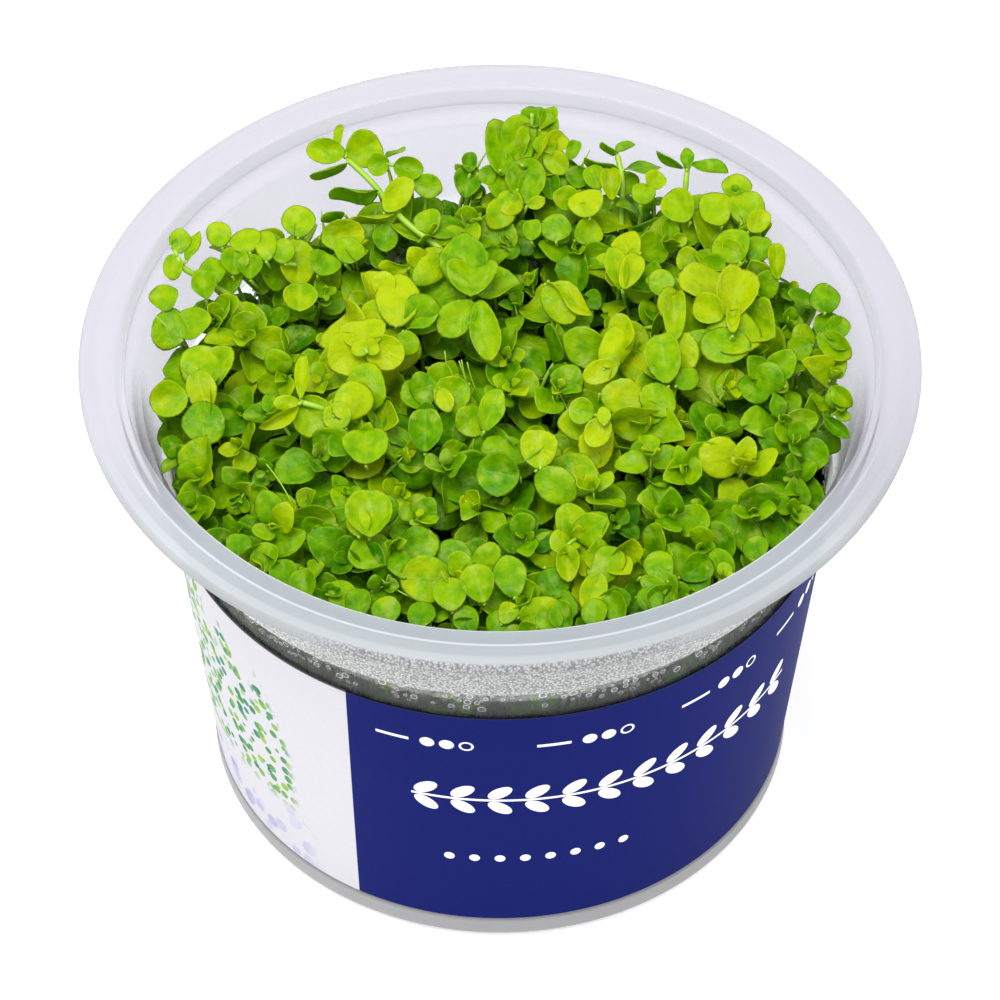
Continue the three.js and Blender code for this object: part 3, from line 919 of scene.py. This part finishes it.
# Leaves that show best: foot, tip, width, roll from facing the camera, tone
SHOWN_LEAVES = [
    (-189, 347, 654, -237, 352, 656, 35, 0, 70), (-190, 344, 654, -145, 368, 660, 52, 0, 72),
    (-200, 354, 654, -198, 396, 660, 14, 20, 70), (-188, 332, 650, -232, 314, 643, 38, 72, 45),
    (-148, 287, 644, -209, 290, 645, 38, 58, 30), (-141, 255, 640, -108, 301, 658, 35, 0, 92),
    (-135, 330, 652, -163, 326, 651, 31, 0, 60), (-130, 328, 650, -93, 320, 647, 33, 0, 55),
    (-141, 339, 652, -116, 353, 657, 18, 70, 40), (-108, 311, 640, -71, 299, 636, 33, 0, 50),
    (-245, 217, 635, -244, 260, 652, 46, 0, 72), (-245, 217, 630, -244, 161, 608, 49, 0, 80),
    (-241, 153, 620, -241, 118, 606, 45, 0, 72), (-219, 227, 625, -163, 234, 628, 43, 0, 80),
    (-122, 261, 632, -189, 254, 629, 30, 66, 75), (-139, 260, 620, -139, 222, 605, 34, 0, 45),
    (-189, 267, 625, -218, 258, 622, 30, 60, 25), (0, 314, 655, 10, 399, 660, 58, 0, 55),
    (27, 320, 658, 27, 412, 660, 35, 10, 62), (39, 388, 659, 39, 426, 660, 23, 0, 25),
    (49, 382, 658, 65, 417, 660, 20, 0, 65), (50, 347, 656, 82, 373, 660, 30, 0, 98),
    (55, 347, 654, 82, 321, 644, 31, 0, 75), (31, 337, 650, 33, 282, 629, 55, 0, 50),
    (83, 333, 652, 94, 360, 660, 19, 0, 50), (18, 288, 640, -11, 247, 624, 40, 0, 68),
    (-37, 321, 642, -37, 349, 653, 21, 0, 22), (-29, 326, 640, -56, 333, 642, 20, 50, 25),
    (-37, 339, 638, -42, 301, 623, 38, 0, 30), (-27, 323, 640, -4, 318, 638, 28, 20, 40),
    (143, 342, 658, 121, 352, 660, 26, 64, 40), (143, 342, 658, 164, 357, 660, 26, 58, 42),
    (144, 323, 650, 102, 332, 653, 33, 70, 35), (152, 321, 650, 198, 326, 652, 35, 66, 35),
    (228, 315, 654, 230, 348, 660, 19, 0, 45), (225, 323, 652, 191, 343, 660, 28, 68, 40),
    (232, 325, 652, 279, 313, 648, 30, 55, 45), (-404, 100, 628, -412, 135, 642, 39, 0, 62),
    (-407, 110, 626, -418, 62, 607, 48, 0, 55), (-370, -32, 618, -415, -40, 615, 49, 0, 72),
    (-361, 7, 624, -349, -40, 605, 39, 0, 82), (-365, -14, 615, -344, 38, 636, 58, 0, 68),
    (-350, -29, 608, -351, -83, 586, 56, 0, 45), (-233, -66, 645, -231, -8, 660, 18, 15, 97),
    (-238, -69, 642, -283, -97, 630, 19, 20, 95), (-236, -66, 642, -267, -66, 642, 21, 0, 85),
    (-236, -54, 636, -208, -94, 620, 53, 0, 68), (-195, -81, 634, -152, -45, 649, 48, 0, 85),
    (-182, -92, 626, -200, -65, 637, 38, 0, 70), (-157, 29, 654, -200, -9, 639, 58, 0, 93),
    (-159, 10, 650, -165, 50, 660, 60, 0, 90), (-161, 21, 652, -114, 2, 644, 45, 0, 93),
    (-157, -1, 659, -174, 13, 660, 23, 0, 80), (-161, 4, 659, -143, 12, 660, 23, 0, 80),
    (-128, 29, 640, -95, 35, 642, 33, 0, 60), (-124, 53, 650, -120, 127, 660, 60, 0, 93),
    (-136, 65, 644, -165, 87, 653, 43, 0, 82), (-110, 56, 640, -74, 92, 655, 55, 0, 40),
    (-115, 46, 648, -72, 69, 657, 28, 68, 50), (-35, 93, 652, -35, 164, 660, 66, 0, 62),
    (-29, 91, 650, -75, 55, 635, 45, 0, 62), (-25, 97, 646, -10, 24, 616, 39, 0, 60),
    (-103, 132, 640, -65, 170, 655, 38, 0, 72), (-110, 168, 632, -147, 171, 633, 20, 30, 80),
    (-37, -22, 628, -77, -45, 618, 48, 0, 62), (-71, -32, 632, -59, -61, 620, 24, 0, 90),
    (-75, -18, 624, -105, -29, 620, 45, 0, 40), (-19, -96, 624, -2, -45, 645, 34, 0, 62),
    (-18, -57, 620, -50, -82, 609, 43, 0, 60), (54, 131, 642, 87, 82, 622, 40, 0, 72),
    (58, 134, 644, 111, 90, 626, 35, 55, 97), (147, 124, 636, 135, 180, 658, 30, 0, 68),
    (147, 125, 638, 167, 170, 656, 30, 0, 90), (123, -18, 650, 155, 51, 660, 41, 0, 88),
    (140, -10, 650, 98, -28, 643, 31, 0, 93), (118, -52, 642, 170, -59, 639, 48, 0, 82),
    (122, -105, 644, 122, -83, 653, 18, 0, 80), (125, -89, 640, 104, -122, 626, 35, 0, 97),
    (111, -80, 636, 81, -71, 640, 36, 0, 68), (271, 57, 658, 290, 144, 660, 56, 0, 97),
    (268, 62, 654, 230, 88, 660, 40, 0, 85), (268, 53, 650, 267, 7, 631, 66, 0, 58),
    (276, 26, 660, 278, 78, 660, 19, 0, 90), (256, 47, 644, 216, 24, 635, 35, 0, 42),
    (208, 22, 648, 208, 107, 660, 31, 0, 76), (199, -37, 640, 190, 26, 660, 46, 0, 58),
    (199, -35, 638, 175, -66, 625, 51, 0, 62), (208, -33, 636, 236, -16, 643, 30, 0, 50),
    (338, -21, 624, 298, -7, 630, 45, 15, 42), (401, 65, 620, 428, 87, 629, 31, 0, 42),
    (383, 71, 618, 419, 41, 606, 35, 0, 60), (390, 100, 624, 397, 140, 640, 41, 0, 38),
    (373, 52, 618, 343, 45, 615, 34, 0, 55), (395, -8, 608, 417, -30, 599, 24, 0, 55),
    (389, -53, 602, 418, -77, 592, 19, 0, 22), (242, 176, 630, 214, 188, 635, 34, 0, 75),
    (242, 176, 630, 273, 172, 629, 36, 0, 48), (297, 179, 632, 256, 197, 639, 41, 0, 65),
    (81, 326, 640, 110, 315, 636, 30, 0, 30), (59, 328, 638, 64, 293, 624, 28, 0, 35),
    (109, 246, 640, 101, 281, 654, 48, 0, 90), (122, 293, 642, 110, 323, 654, 30, 0, 60),
    (137, 278, 636, 134, 321, 652, 28, 0, 80), (33, 273, 634, 55, 281, 637, 18, 0, 85),
    (68, 219, 626, 68, 254, 640, 43, 0, 50), (38, 219, 626, 40, 247, 637, 25, 0, 60),
    (21, 293, 642, 5, 263, 630, 38, 0, 80), (-55, -351, 592, -60, -310, 610, 43, 0, 69),
    (-18, -340, 594, -32, -296, 613, 43, 0, 67), (17, -331, 594, 6, -280, 616, 43, 0, 53),
    (2, -364, 586, 16, -340, 597, 25, 0, 72), (21, -356, 588, 69, -341, 595, 35, 0, 75),
    (79, -259, 606, 78, -303, 587, 30, 0, 82), (116, -296, 600, 99, -343, 580, 35, 0, 85),
    (104, -308, 596, 141, -270, 612, 43, 0, 67), (113, -327, 586, 152, -327, 586, 30, 0, 32),
    (194, -306, 594, 174, -270, 609, 38, 0, 59), (162, -300, 594, 194, -317, 587, 25, 0, 62),
    (208, -296, 590, 246, -276, 599, 38, 0, 42), (52, -284, 594, 69, -318, 579, 43, 0, 37),
    (47, -157, 624, 43, -111, 643, 48, 0, 85), (41, -159, 622, 88, -188, 609, 48, 0, 60),
    (23, -164, 618, -27, -155, 622, 58, 0, 40), (-152, -250, 606, -153, -196, 629, 60, 0, 74),
    (-164, -252, 612, -165, -216, 627, 33, 0, 82), (-157, -147, 620, -157, -100, 640, 58, 0, 65),
    (-88, -128, 620, -88, -76, 642, 44, 0, 35), (6, 361, 644, 37, 399, 659, 50, 0, 60),
    (49, 324, 636, 74, 356, 649, 40, 0, 62), (24, 290, 624, 55, 323, 637, 45, 0, 45),
    (-2, 290, 628, 10, 327, 643, 45, 0, 55), (73, 306, 626, 93, 338, 639, 35, 0, 40),
    (59, 373, 646, 59, 409, 660, 30, 0, 55), (98, 313, 626, 123, 333, 634, 30, 0, 40),
    (132, 313, 626, 172, 323, 630, 33, 0, 50), (58, 232, 616, 85, 255, 625, 38, 0, 50),
    (91, 232, 616, 122, 251, 623, 38, 0, 62), (-392, 176, 653, -395, 210, 660, 30, 0, 62),
    (-393, 174, 650, -395, 143, 637, 26, 0, 70), (-377, 161, 650, -365, 209, 660, 18, 20, 70),
    (-395, 181, 655, -391, 190, 658, 10, 0, 30), (-336, 192, 644, -344, 223, 656, 33, 0, 74),
    (-302, 184, 642, -314, 216, 655, 43, 0, 72), (-282, 171, 640, -283, 215, 657, 30, 0, 72),
    (-343, 141, 632, -350, 175, 646, 35, 0, 55), (-301, 154, 626, -302, 184, 638, 33, 0, 50),
    (288, 260, 650, 288, 306, 660, 40, 0, 68), (286, 275, 656, 286, 285, 660, 11, 0, 25),
    (293, 232, 644, 306, 274, 660, 50, 0, 66), (301, 222, 640, 324, 247, 650, 30, 0, 86),
    (269, 230, 642, 253, 276, 660, 45, 0, 76), (290, 175, 634, 269, 217, 650, 55, 0, 62),
    (305, 181, 628, 320, 214, 641, 33, 0, 50), (335, 153, 624, 334, 197, 641, 23, 0, 80),
    (195, 119, 632, 193, 152, 645, 35, 0, 60), (183, 293, 642, 195, 315, 651, 30, 0, 80),
    (231, 239, 640, 204, 278, 655, 45, 0, 70), (171, 271, 638, 178, 299, 649, 33, 0, 62),
    (244, 263, 634, 232, 284, 642, 33, 0, 60), (31, 328, 650, 43, 389, 660, 43, 0, 75),
    (55, 339, 648, 55, 371, 660, 33, 0, 60), (43, 384, 656, 39, 419, 660, 33, 0, 35),
    (62, 390, 654, 58, 419, 660, 28, 0, 60), (-323, 161, 626, -319, 193, 639, 38, 0, 52),
    (-260, 173, 634, -265, 203, 646, 33, 0, 60), (-354, 126, 620, -359, 160, 634, 33, 0, 55),
    (-220, 163, 624, -206, 192, 636, 43, 0, 45), (-187, 179, 628, -179, 211, 641, 43, 0, 60),
]

# Leaves just inside the front of the rim, in the same order
EDGE_LEAVES = [
    (-304, -264, 584, -304, -230, 598, 33, 0, 45), (-278, -286, 583, -263, -252, 598, 38, 25, 55),
    (-249, -306, 582, -253, -272, 597, 35, 0, 40), (-220, -322, 582, -229, -289, 596, 35, 15, 50),
    (-190, -336, 581, -175, -303, 595, 38, 0, 60), (-161, -348, 580, -166, -315, 595, 35, 15, 40),
    (-129, -359, 579, -133, -326, 594, 38, 0, 55), (-98, -366, 579, -84, -333, 593, 35, 15, 40),
    (-34, -374, 577, -43, -340, 591, 33, 0, 45), (-9, -375, 576, 2, -342, 591, 30, 15, 50),
    (52, -372, 577, 60, -339, 592, 35, 0, 50), (81, -369, 578, 67, -335, 593, 33, 15, 40),
    (109, -364, 579, 110, -331, 593, 35, 15, 60), (143, -355, 580, 125, -322, 594, 35, 15, 50),
    (173, -344, 581, 174, -310, 595, 35, 0, 45), (206, -329, 581, 189, -296, 596, 35, 25, 55),
    (237, -313, 582, 223, -279, 597, 38, 15, 40), (269, -293, 583, 245, -259, 597, 35, 15, 50),
    (300, -269, 584, 294, -235, 598, 35, 15, 40),
]

# Stems that show, in millimetres: points from where they leave the mound to the tip, and the bare length
SHOWN_STEMS = {
    "shoot_01": (((-6.6, 21.6, 61.0), (-11.9, 25.5, 63.0), (-15.6, 30.5, 64.2), (-18.9, 33.9, 65.2)), 18),
    "shoot_05": (((14.9, 29.3, 61.5), (14.9, 31.4, 64.2), (14.3, 34.2, 65.7)), 7),
    "shoot_06": (((22.5, 29.4, 61.5), (22.7, 30.6, 63.8), (22.9, 32.1, 65.2)), 6),
    "shoot_14": (((-35.5, 15.6, 62.4), (-38.1, 16.0, 64.0), (-38.9, 17.1, 65.0)), 6),
    "shoot_26": (((-19.3, -6.7, 62.6), (-21.4, -6.7, 63.6), (-23.4, -6.5, 64.2)), 6),
}

# Upper edge of the mound in the photograph's frame
MOUND_EDGE = [
    (120, 460), (150, 402), (165, 382), (180, 355), (190, 305), (206, 292), (215, 250), (235, 232),
    (270, 230), (285, 222), (315, 230), (345, 226), (362, 216), (380, 205), (400, 192), (440, 196),
    (456, 196), (470, 172), (490, 155), (505, 135), (525, 118), (545, 118), (562, 138), (580, 156),
    (590, 175), (602, 188), (640, 190), (670, 200), (700, 206), (722, 208), (735, 190), (752, 196),
    (766, 214), (772, 244), (790, 268), (815, 284), (835, 304), (846, 335), (852, 365), (856, 440),
    (900, 700),
]


class Leaf:
    """A leaf: where it sits, which way it lies, its form and its tone."""

    def __init__(self, seat, axes, length, tone, fine, rng):
        self.seat, self.axes, self.length, self.tone, self.fine = seat, axes, length, tone, fine
        for form, (low, high) in LEAF_FORM.items():
            setattr(self, form, rng.uniform(low, high))
        self.width *= length

    def middle(self):
        return self.seat + self.axes[:, 0] * self.length * 0.5


def laid(direction, normal, roll):
    """Axes of a leaf along it, across it and out of its face, rolled about its length."""
    normal = normal * cos(roll) + np.cross(normal, direction) * sin(roll)
    return np.stack([direction, np.cross(normal, direction), normal], axis=1)


def habit(row):
    """Place, lean, leaf size, spacing of pairs, turn and tone from a row of the tables."""
    lean, size, stretch, tone = (row[3] / 100, row[4] / 100), row[5] / 100, row[6] / 100, row[8] / 100
    return np.array(row[:3]) / 10, lean, size, stretch, row[7], tone


def shaded_toward_front(tone, place):
    """A tone made a little deeper toward the front of the mound, as painted shade."""
    return tone - FRONT_PAINTED_SHADE * float(np.clip((FRONT_FROM - place[1]) / FRONT_REACH, 0, 1))


class Shoot:
    """A stem that leans at its tip, with pairs of leaves, each pair across the one above."""

    def __init__(self, tip, lean, size, stretch, turn, tone, rng, fine_pairs=FINE_PAIRS, showing=None):
        tip = np.array(tip, float)
        lean = unit(np.array([*lean, sqrt(max(0.05, 1 - lean[0] ** 2 - lean[1] ** 2))]))
        foot = tip[:2] * ROOT_SPREAD / spread_at(tip[2]) - lean[:2] * ROOT_PULL
        foot = foot * min(1.0, ROOT_RADIUS / max(norm(foot), 1e-6))
        root = np.array([*foot, GEL_TOP - ROOT_DEPTH])
        points, bare = showing or ((tip,), 0)
        points = np.array(points)
        start = unit(points[1] - points[0]) if showing else lean
        self.path = np.concatenate([stem_path(root, points[0], start), eased_path(points)[1:]])
        self.radii = np.linspace(STEM_RADIUS, STEM_RADIUS * (0.85 if showing else 0.6), len(self.path))
        self.radii[-1] = 0.05
        self.leaves = []
        tone = shaded_toward_front(tone, tip)
        for level, (drop, share, pitch) in enumerate(PAIRS):
            if drop * stretch < bare:
                continue
            point, up = along_path(self.path, drop * stretch)
            if point[2] < GEL_TOP + BARE_FOOT:
                break
            right = unit(np.cross(up, [0, 1, 0.2]))
            back = np.cross(up, right)
            pair_turn = radians(turn) + level * pi / 2 + rng.gauss(0, TURN_SPREAD)
            for opposite in (0, pi):
                azimuth = pair_turn + opposite + rng.gauss(0, OPPOSITE_SPREAD)
                out = right * cos(azimuth) + back * sin(azimuth)
                rise = radians(pitch + rng.gauss(0, PITCH_SPREAD))
                direction = out * cos(rise) + up * sin(rise)
                normal = up * cos(rise) - out * sin(rise)
                axes = laid(direction, normal, rng.gauss(0, ROLL_SPREAD))
                length = LEAF_LENGTH * size * share * rng.uniform(*LENGTH_SPREAD)
                leaf_tone = tone - TONE_FALL * level + rng.gauss(TONE_GAIN, TONE_SPREAD)
                leaf_tone = max(0.02, min(0.98, leaf_tone))
                seat = point + out * STEM_RADIUS * 0.6
                self.leaves.append(Leaf(seat, axes, length, leaf_tone, level < fine_pairs, rng))


class Twig:
    """One leaf that shows, on a thin stalk from the stem nearest to it."""

    def __init__(self, row, stem, rng):
        foot, tip = np.array(row[:6]).reshape(2, 3) / 10
        width, roll, tone = row[6] / 10, radians(row[7]), row[8] / 100
        direction = unit(tip - foot)
        view = unit(CAMERA_PLACE - foot)
        normal = unit(view - direction * view.dot(direction))
        length = float(norm(tip - foot))
        leaf = Leaf(foot, laid(direction, normal, roll), length, shaded_toward_front(tone, foot), True, rng)
        leaf.width = width
        leaf.bend *= 0.6 * cos(roll)
        leaf.cup *= cos(roll)
        leaf.fold *= cos(roll)
        leaf.point *= 0.5
        leaf.lobe *= 0.5
        self.leaves = [leaf]
        away = norm(stem - foot, axis=1)
        if away.min() >= STALK_REACH:  # the stalk of a leaf far from its stem leaves it lower down
            away = np.abs(stem[:, 2] - foot[2] + 0.8 * away + 5.0)
        self.path = stem_path(stem[np.argmin(away)], foot, view, 5)
        self.radii = np.linspace(STALK_RADIUS, STALK_RADIUS - 0.06, len(self.path))


def eased_path(points, steps=5):
    """A smooth curve through the points of a stem."""
    padded = np.concatenate([[2 * points[0] - points[min(1, len(points) - 1)]], points, points[-1:]])
    made = [points[0]]
    for a, b, c, d in zip(padded, padded[1:], padded[2:], padded[3:]):
        for step in range(1, steps + 1):
            t = step / steps
            cubic = 3 * b - 3 * c + d - a
            made.append(0.5 * (2 * b + (c - a) * t + (2 * a - 5 * b + 4 * c - d) * t ** 2 + cubic * t ** 3))
    return np.array(made)


SINE, COSINE = sin(CAMERA_ELEVATION), cos(CAMERA_ELEVATION)
CAMERA_PLACE = np.array([0, -COSINE * CAMERA_DISTANCE / MM, CAMERA_AIM_HEIGHT + SINE * CAMERA_DISTANCE / MM])
VIEW_AXES = np.array([[1, 0, 0], [0, SINE, COSINE], [0, -COSINE, SINE]])


def seen_at(point):
    """Where a point falls in the photograph's frame, and how near it is to the camera."""
    across, up, near = VIEW_AXES @ (point - CAMERA_PLACE)
    scale = FOCAL_PIXELS / -near
    return FRAME_PIXELS / 2 + across * scale, FRAME_PIXELS / 2 - up * scale, near


# What hides a leaf that shows: nearness to its middle in shares of both leaves' halves, and how far behind
# its middle, in millimetres, still counts; and the share of a leaf's half that has to be under the edge
SHOWN_SHARE, HIDING_SHARE, BEHIND, UNDER_EDGE = 0.75, 0.25, 0.4, 0.6


def clear_view(groups):
    """Leaves out what would hide the leaves that show best, or rise over the edge of the mound."""
    grown = [one for group in groups.values() for one in group]
    shown = [twig.leaves[0] for twig in grown if isinstance(twig, Twig)]
    places = np.array([seen_at(leaf.middle()) for leaf in shown])
    halves = np.array([max(leaf.length, leaf.width) for leaf in shown]) * PIXELS_PER_MM / 2
    edge_across, edge_down = np.array(MOUND_EDGE).T

    def shows(leaf):
        across, down, near = seen_at(leaf.middle())
        half = leaf.length * PIXELS_PER_MM / 2
        apart = np.hypot(places[:, 0] - across, places[:, 1] - down)
        hides = (apart < SHOWN_SHARE * halves + HIDING_SHARE * half) & (near > places[:, 2] - BEHIND)
        return not hides.any() and down - UNDER_EDGE * half >= np.interp(across, edge_across, edge_down)

    for shoot in grown:
        if isinstance(shoot, Shoot):
            shoot.leaves = [leaf for leaf in shoot.leaves if shows(leaf)]


def spread_at(height):
    """Share of its crown's place in plan that a stem has at a height."""
    return ROOT_SPREAD + (1 - ROOT_SPREAD) * (height - GEL_TOP) / (CROWN_LEVEL - GEL_TOP)


def modelled_tips():
    """Tip of each modelled shoot, from the foot of its stem and its highest point."""
    tips = {}
    for name in sorted(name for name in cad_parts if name.startswith("shoot_")):
        points = np.array([v.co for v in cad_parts[name].data.vertices]) / MM
        foot = points[points[:, 2] < points[:, 2].min() + 0.01].mean(axis=0)
        top = points[:, 2].max()
        tips[name] = np.array([*(foot[:2] / spread_at(foot[2]) * spread_at(top)), top])
    return tips


def nearest(place, tips):
    return min(tips, key=lambda name: norm(place[:2] - tips[name][:2]))


def filling_tips(tips, taken, rng):
    """Evenly spaced places for the lesser shoots, a little under the main ones."""
    placed = [tip[:2] for tip in taken]
    made = []
    for _ in range(FILLING_TRIES):
        reach = CROWN_RADIUS * sqrt(rng.random())
        angle = rng.uniform(0, 2 * pi)
        place = np.array([reach * cos(angle), reach * sin(angle)])
        if min(norm(place - other) for other in placed) < SHOOT_SPACING:
            continue
        placed.append(place)
        weights = {name: 1 / (norm(place - tip[:2]) ** 2 + 1) for name, tip in tips.items()}
        level = sum(weights[name] * tips[name][2] for name in tips) / sum(weights.values())
        made.append(np.array([*place, level - rng.uniform(*FILLING_DROP)]))
    return made


def grown_shoots():
    """All shoots and twigs, under the name of the modelled shoot that they belong to."""
    rng = random.Random(SEED)
    tips = modelled_tips()
    groups, taken = {}, []
    for (name, tip), row in zip(tips.items(), MAIN_HABIT):
        shift, *rest = habit(row)
        taken.append(tip + shift)
        groups[name] = [Shoot(taken[-1], *rest, rng, showing=SHOWN_STEMS.get(name))]
    for tip, *rest in map(habit, SIDE_SHOOTS):
        taken.append(tip)
        groups[nearest(tip, tips)].append(Shoot(tip, *rest, rng))
    for tip in filling_tips(tips, taken, rng):
        x, y = tip[:2] / MOUND_REACH * FILLING_LEAN
        lean = (x + rng.gauss(0, LEAN_SPREAD), y - FORWARD_LEAN + rng.gauss(0, LEAN_SPREAD))
        size, stretch = rng.uniform(*FILLING_SIZE), rng.uniform(*FILLING_STRETCH)
        turn, tone = rng.uniform(0, 180), rng.uniform(*FILLING_TONE)
        shoot = Shoot(tip, lean, size, stretch, turn, tone, rng, PLAIN_FINE_PAIRS)
        groups[nearest(tip, tips)].append(shoot)

    def add_twigs(rows):
        for row in rows:
            group = groups[nearest(np.array(row[:3]) / 10, tips)]
            group.append(Twig(row, group[0].path, rng))

    add_twigs(SHOWN_LEAVES)
    clear_view(groups)
    add_twigs(EDGE_LEAVES)
    return groups


class Growth:
    """What one foliage piece is made of, and where its leaves and stems are told apart."""

    def __init__(self):
        self.points, self.faces, self.kinds, self.tones, self.places = [], [], [], [], []
        self.count = 0

    def add(self, bodies, faces, kind, tones, places):
        """Adds bodies of the same faces, with a tone each and a place on the blade for each point."""
        number, size = bodies.shape[:2]
        self.points.append(kept_in_cup(bodies).reshape(-1, 3))
        for first in range(self.count, self.count + number * size, size):
            self.faces += [[corner + first for corner in face] for face in faces]
        self.kinds += [kind] * (number * len(faces))
        self.tones.append(np.repeat(tones, size))
        self.places.append(np.tile(places, (number, 1)))
        self.count += number * size

    def add_stem(self, one):
        points, faces = tube(one.path, one.radii)
        self.add(np.array([points]), faces, 1, [0.5], np.full((len(points), 2), 0.5))

    def add_leaves(self, template, leaves):
        if leaves:
            radius, angle, _, faces = template
            places = 0.5 + 0.5 * radius[:, None] * np.stack([np.cos(angle), np.sin(angle)], axis=1)
            tones = [leaf.tone for leaf in leaves]
            self.add(eased_in(shaped_blades(template, leaves)), faces, 0, tones, places)


def make_foliage(leaf, stem):
    """The plants, as one piece for each modelled shoot and the lesser shoots round it."""
    for name, group in grown_shoots().items():
        growth = Growth()
        for one in group:
            growth.add_stem(one)
            growth.add_leaves(FINE_BLADE, [leaf for leaf in one.leaves if leaf.fine])
            growth.add_leaves(PLAIN_BLADE, [leaf for leaf in one.leaves if not leaf.fine])
        points = np.concatenate(growth.points)
        mesh = mesh_piece(
            f"{name}_foliage", points, growth.faces, [leaf, stem], [name], face_finish=growth.kinds
        )
        give_points(mesh, "tone", np.concatenate(growth.tones))
        corners = np.empty(len(mesh.loops), dtype=np.int64)
        mesh.loops.foreach_get("vertex_index", corners)
        blade = mesh.uv_layers.new(name="blade")
        blade.data.foreach_set("uv", np.concatenate(growth.places)[corners].ravel())


# Each thread from its upper end to its lower end
FILAMENTS = [
    ((-6.6, 3.6, 62.5), (-6.6, -0.5, 57.0)), ((-4.6, 2.6, 62.0), (-2.6, -1.0, 57.0)),
    ((-4.9, 2.4, 62.0), (-3.4, -0.8, 56.5)), ((-3.9, 2.2, 62.0), (-1.8, -0.6, 57.0)),
    ((6.4, -0.6, 61.0), (8.2, -3.4, 58.5)), ((6.2, -2.4, 61.0), (8.4, -5.0, 58.0)),
    ((-27.5, -12.5, 60.0), (-24.5, -16.5, 57.5)), ((-13.8, -29.4, 58.5), (-9.2, -32.0, 57.5)),
]


def make_filaments(finish):
    """A few fine pale threads between the shoots."""
    points, faces = [], []
    t = np.linspace(0, 1, 9)[:, None]
    for number, ends in enumerate(FILAMENTS):
        start, end = np.array(ends)
        sag = np.array([0.25 * (-1) ** number, 0.2, -0.3])
        path = start + (end - start) * t + sag * 4 * t * (1 - t)
        tube_points, tube_faces = tube(path, [THREAD_RADIUS] * len(path))
        faces += [[corner + len(points) for corner in face] for face in tube_faces]
        points += tube_points
    mesh_piece("fine_filaments", points, faces, [finish])


# Studio, in metres

FLOOR_HALF = 4.0


def make_camera():
    data = bpy.data.cameras.new("camera")
    data.sensor_width = SENSOR
    data.lens = FOCAL_PIXELS / FRAME_PIXELS * SENSOR
    camera = bpy.data.objects.new("camera", data)
    back = Vector((0, -cos(CAMERA_ELEVATION), sin(CAMERA_ELEVATION)))
    camera.location = Vector((0, 0, CAMERA_AIM_HEIGHT * MM)) + back * CAMERA_DISTANCE
    camera.rotation_euler = back.to_track_quat("Z", "Y").to_euler()
    bpy.context.scene.collection.objects.link(camera)
    bpy.context.scene.camera = camera


def soft_light(name, place, size, power):
    data = bpy.data.lights.new(name, "AREA")
    data.shape = "DISK"
    data.size = size
    data.energy = power
    light = bpy.data.objects.new(name, data)
    light.location = place
    light.rotation_euler = (-Vector(place)).to_track_quat("-Z", "Y").to_euler()
    bpy.context.scene.collection.objects.link(light)


def make_studio():
    scene = bpy.context.scene
    scene.view_settings.view_transform = "Standard"
    world = bpy.data.worlds.new("white_room")
    world.use_nodes = True
    background = world.node_tree.nodes["Background"]
    background.inputs["Color"].default_value = (1.0, 1.0, 1.0, 1)
    background.inputs["Strength"].default_value = 0.95
    scene.world = world
    soft_light("top_light", (-0.09, -0.18, 0.72), 0.34, 4.1)
    floor = Finish("pale_floor", Roughness=0.9, Emission_Color=(1, 1, 1), Emission_Strength=0.42)
    floor.set(Base_Color=floor.blend(floor.noise(40, 2), (0.93, 0.93, 0.93), (0.95, 0.95, 0.95)))
    mesh = bpy.data.meshes.new("floor")
    corners = [(FLOOR_HALF * x, FLOOR_HALF * y, 0) for x, y in ((-1, -1), (1, -1), (1, 1), (-1, 1))]
    mesh.from_pydata(corners, [], [(0, 1, 2, 3)])
    mesh.materials.append(floor.material)
    ground = bpy.data.objects.new("floor", mesh)
    scene.collection.objects.link(ground)


make_camera()
make_studio()
make_cup(milky_finish(), misted_finish(), clear_finish(), heel_finish())
make_label(label_finish())
make_gel(gel_finish())
make_beads(bead_finish())
stem = stem_finish()
make_foliage(leaf_finish(), stem)
make_filaments(stem)
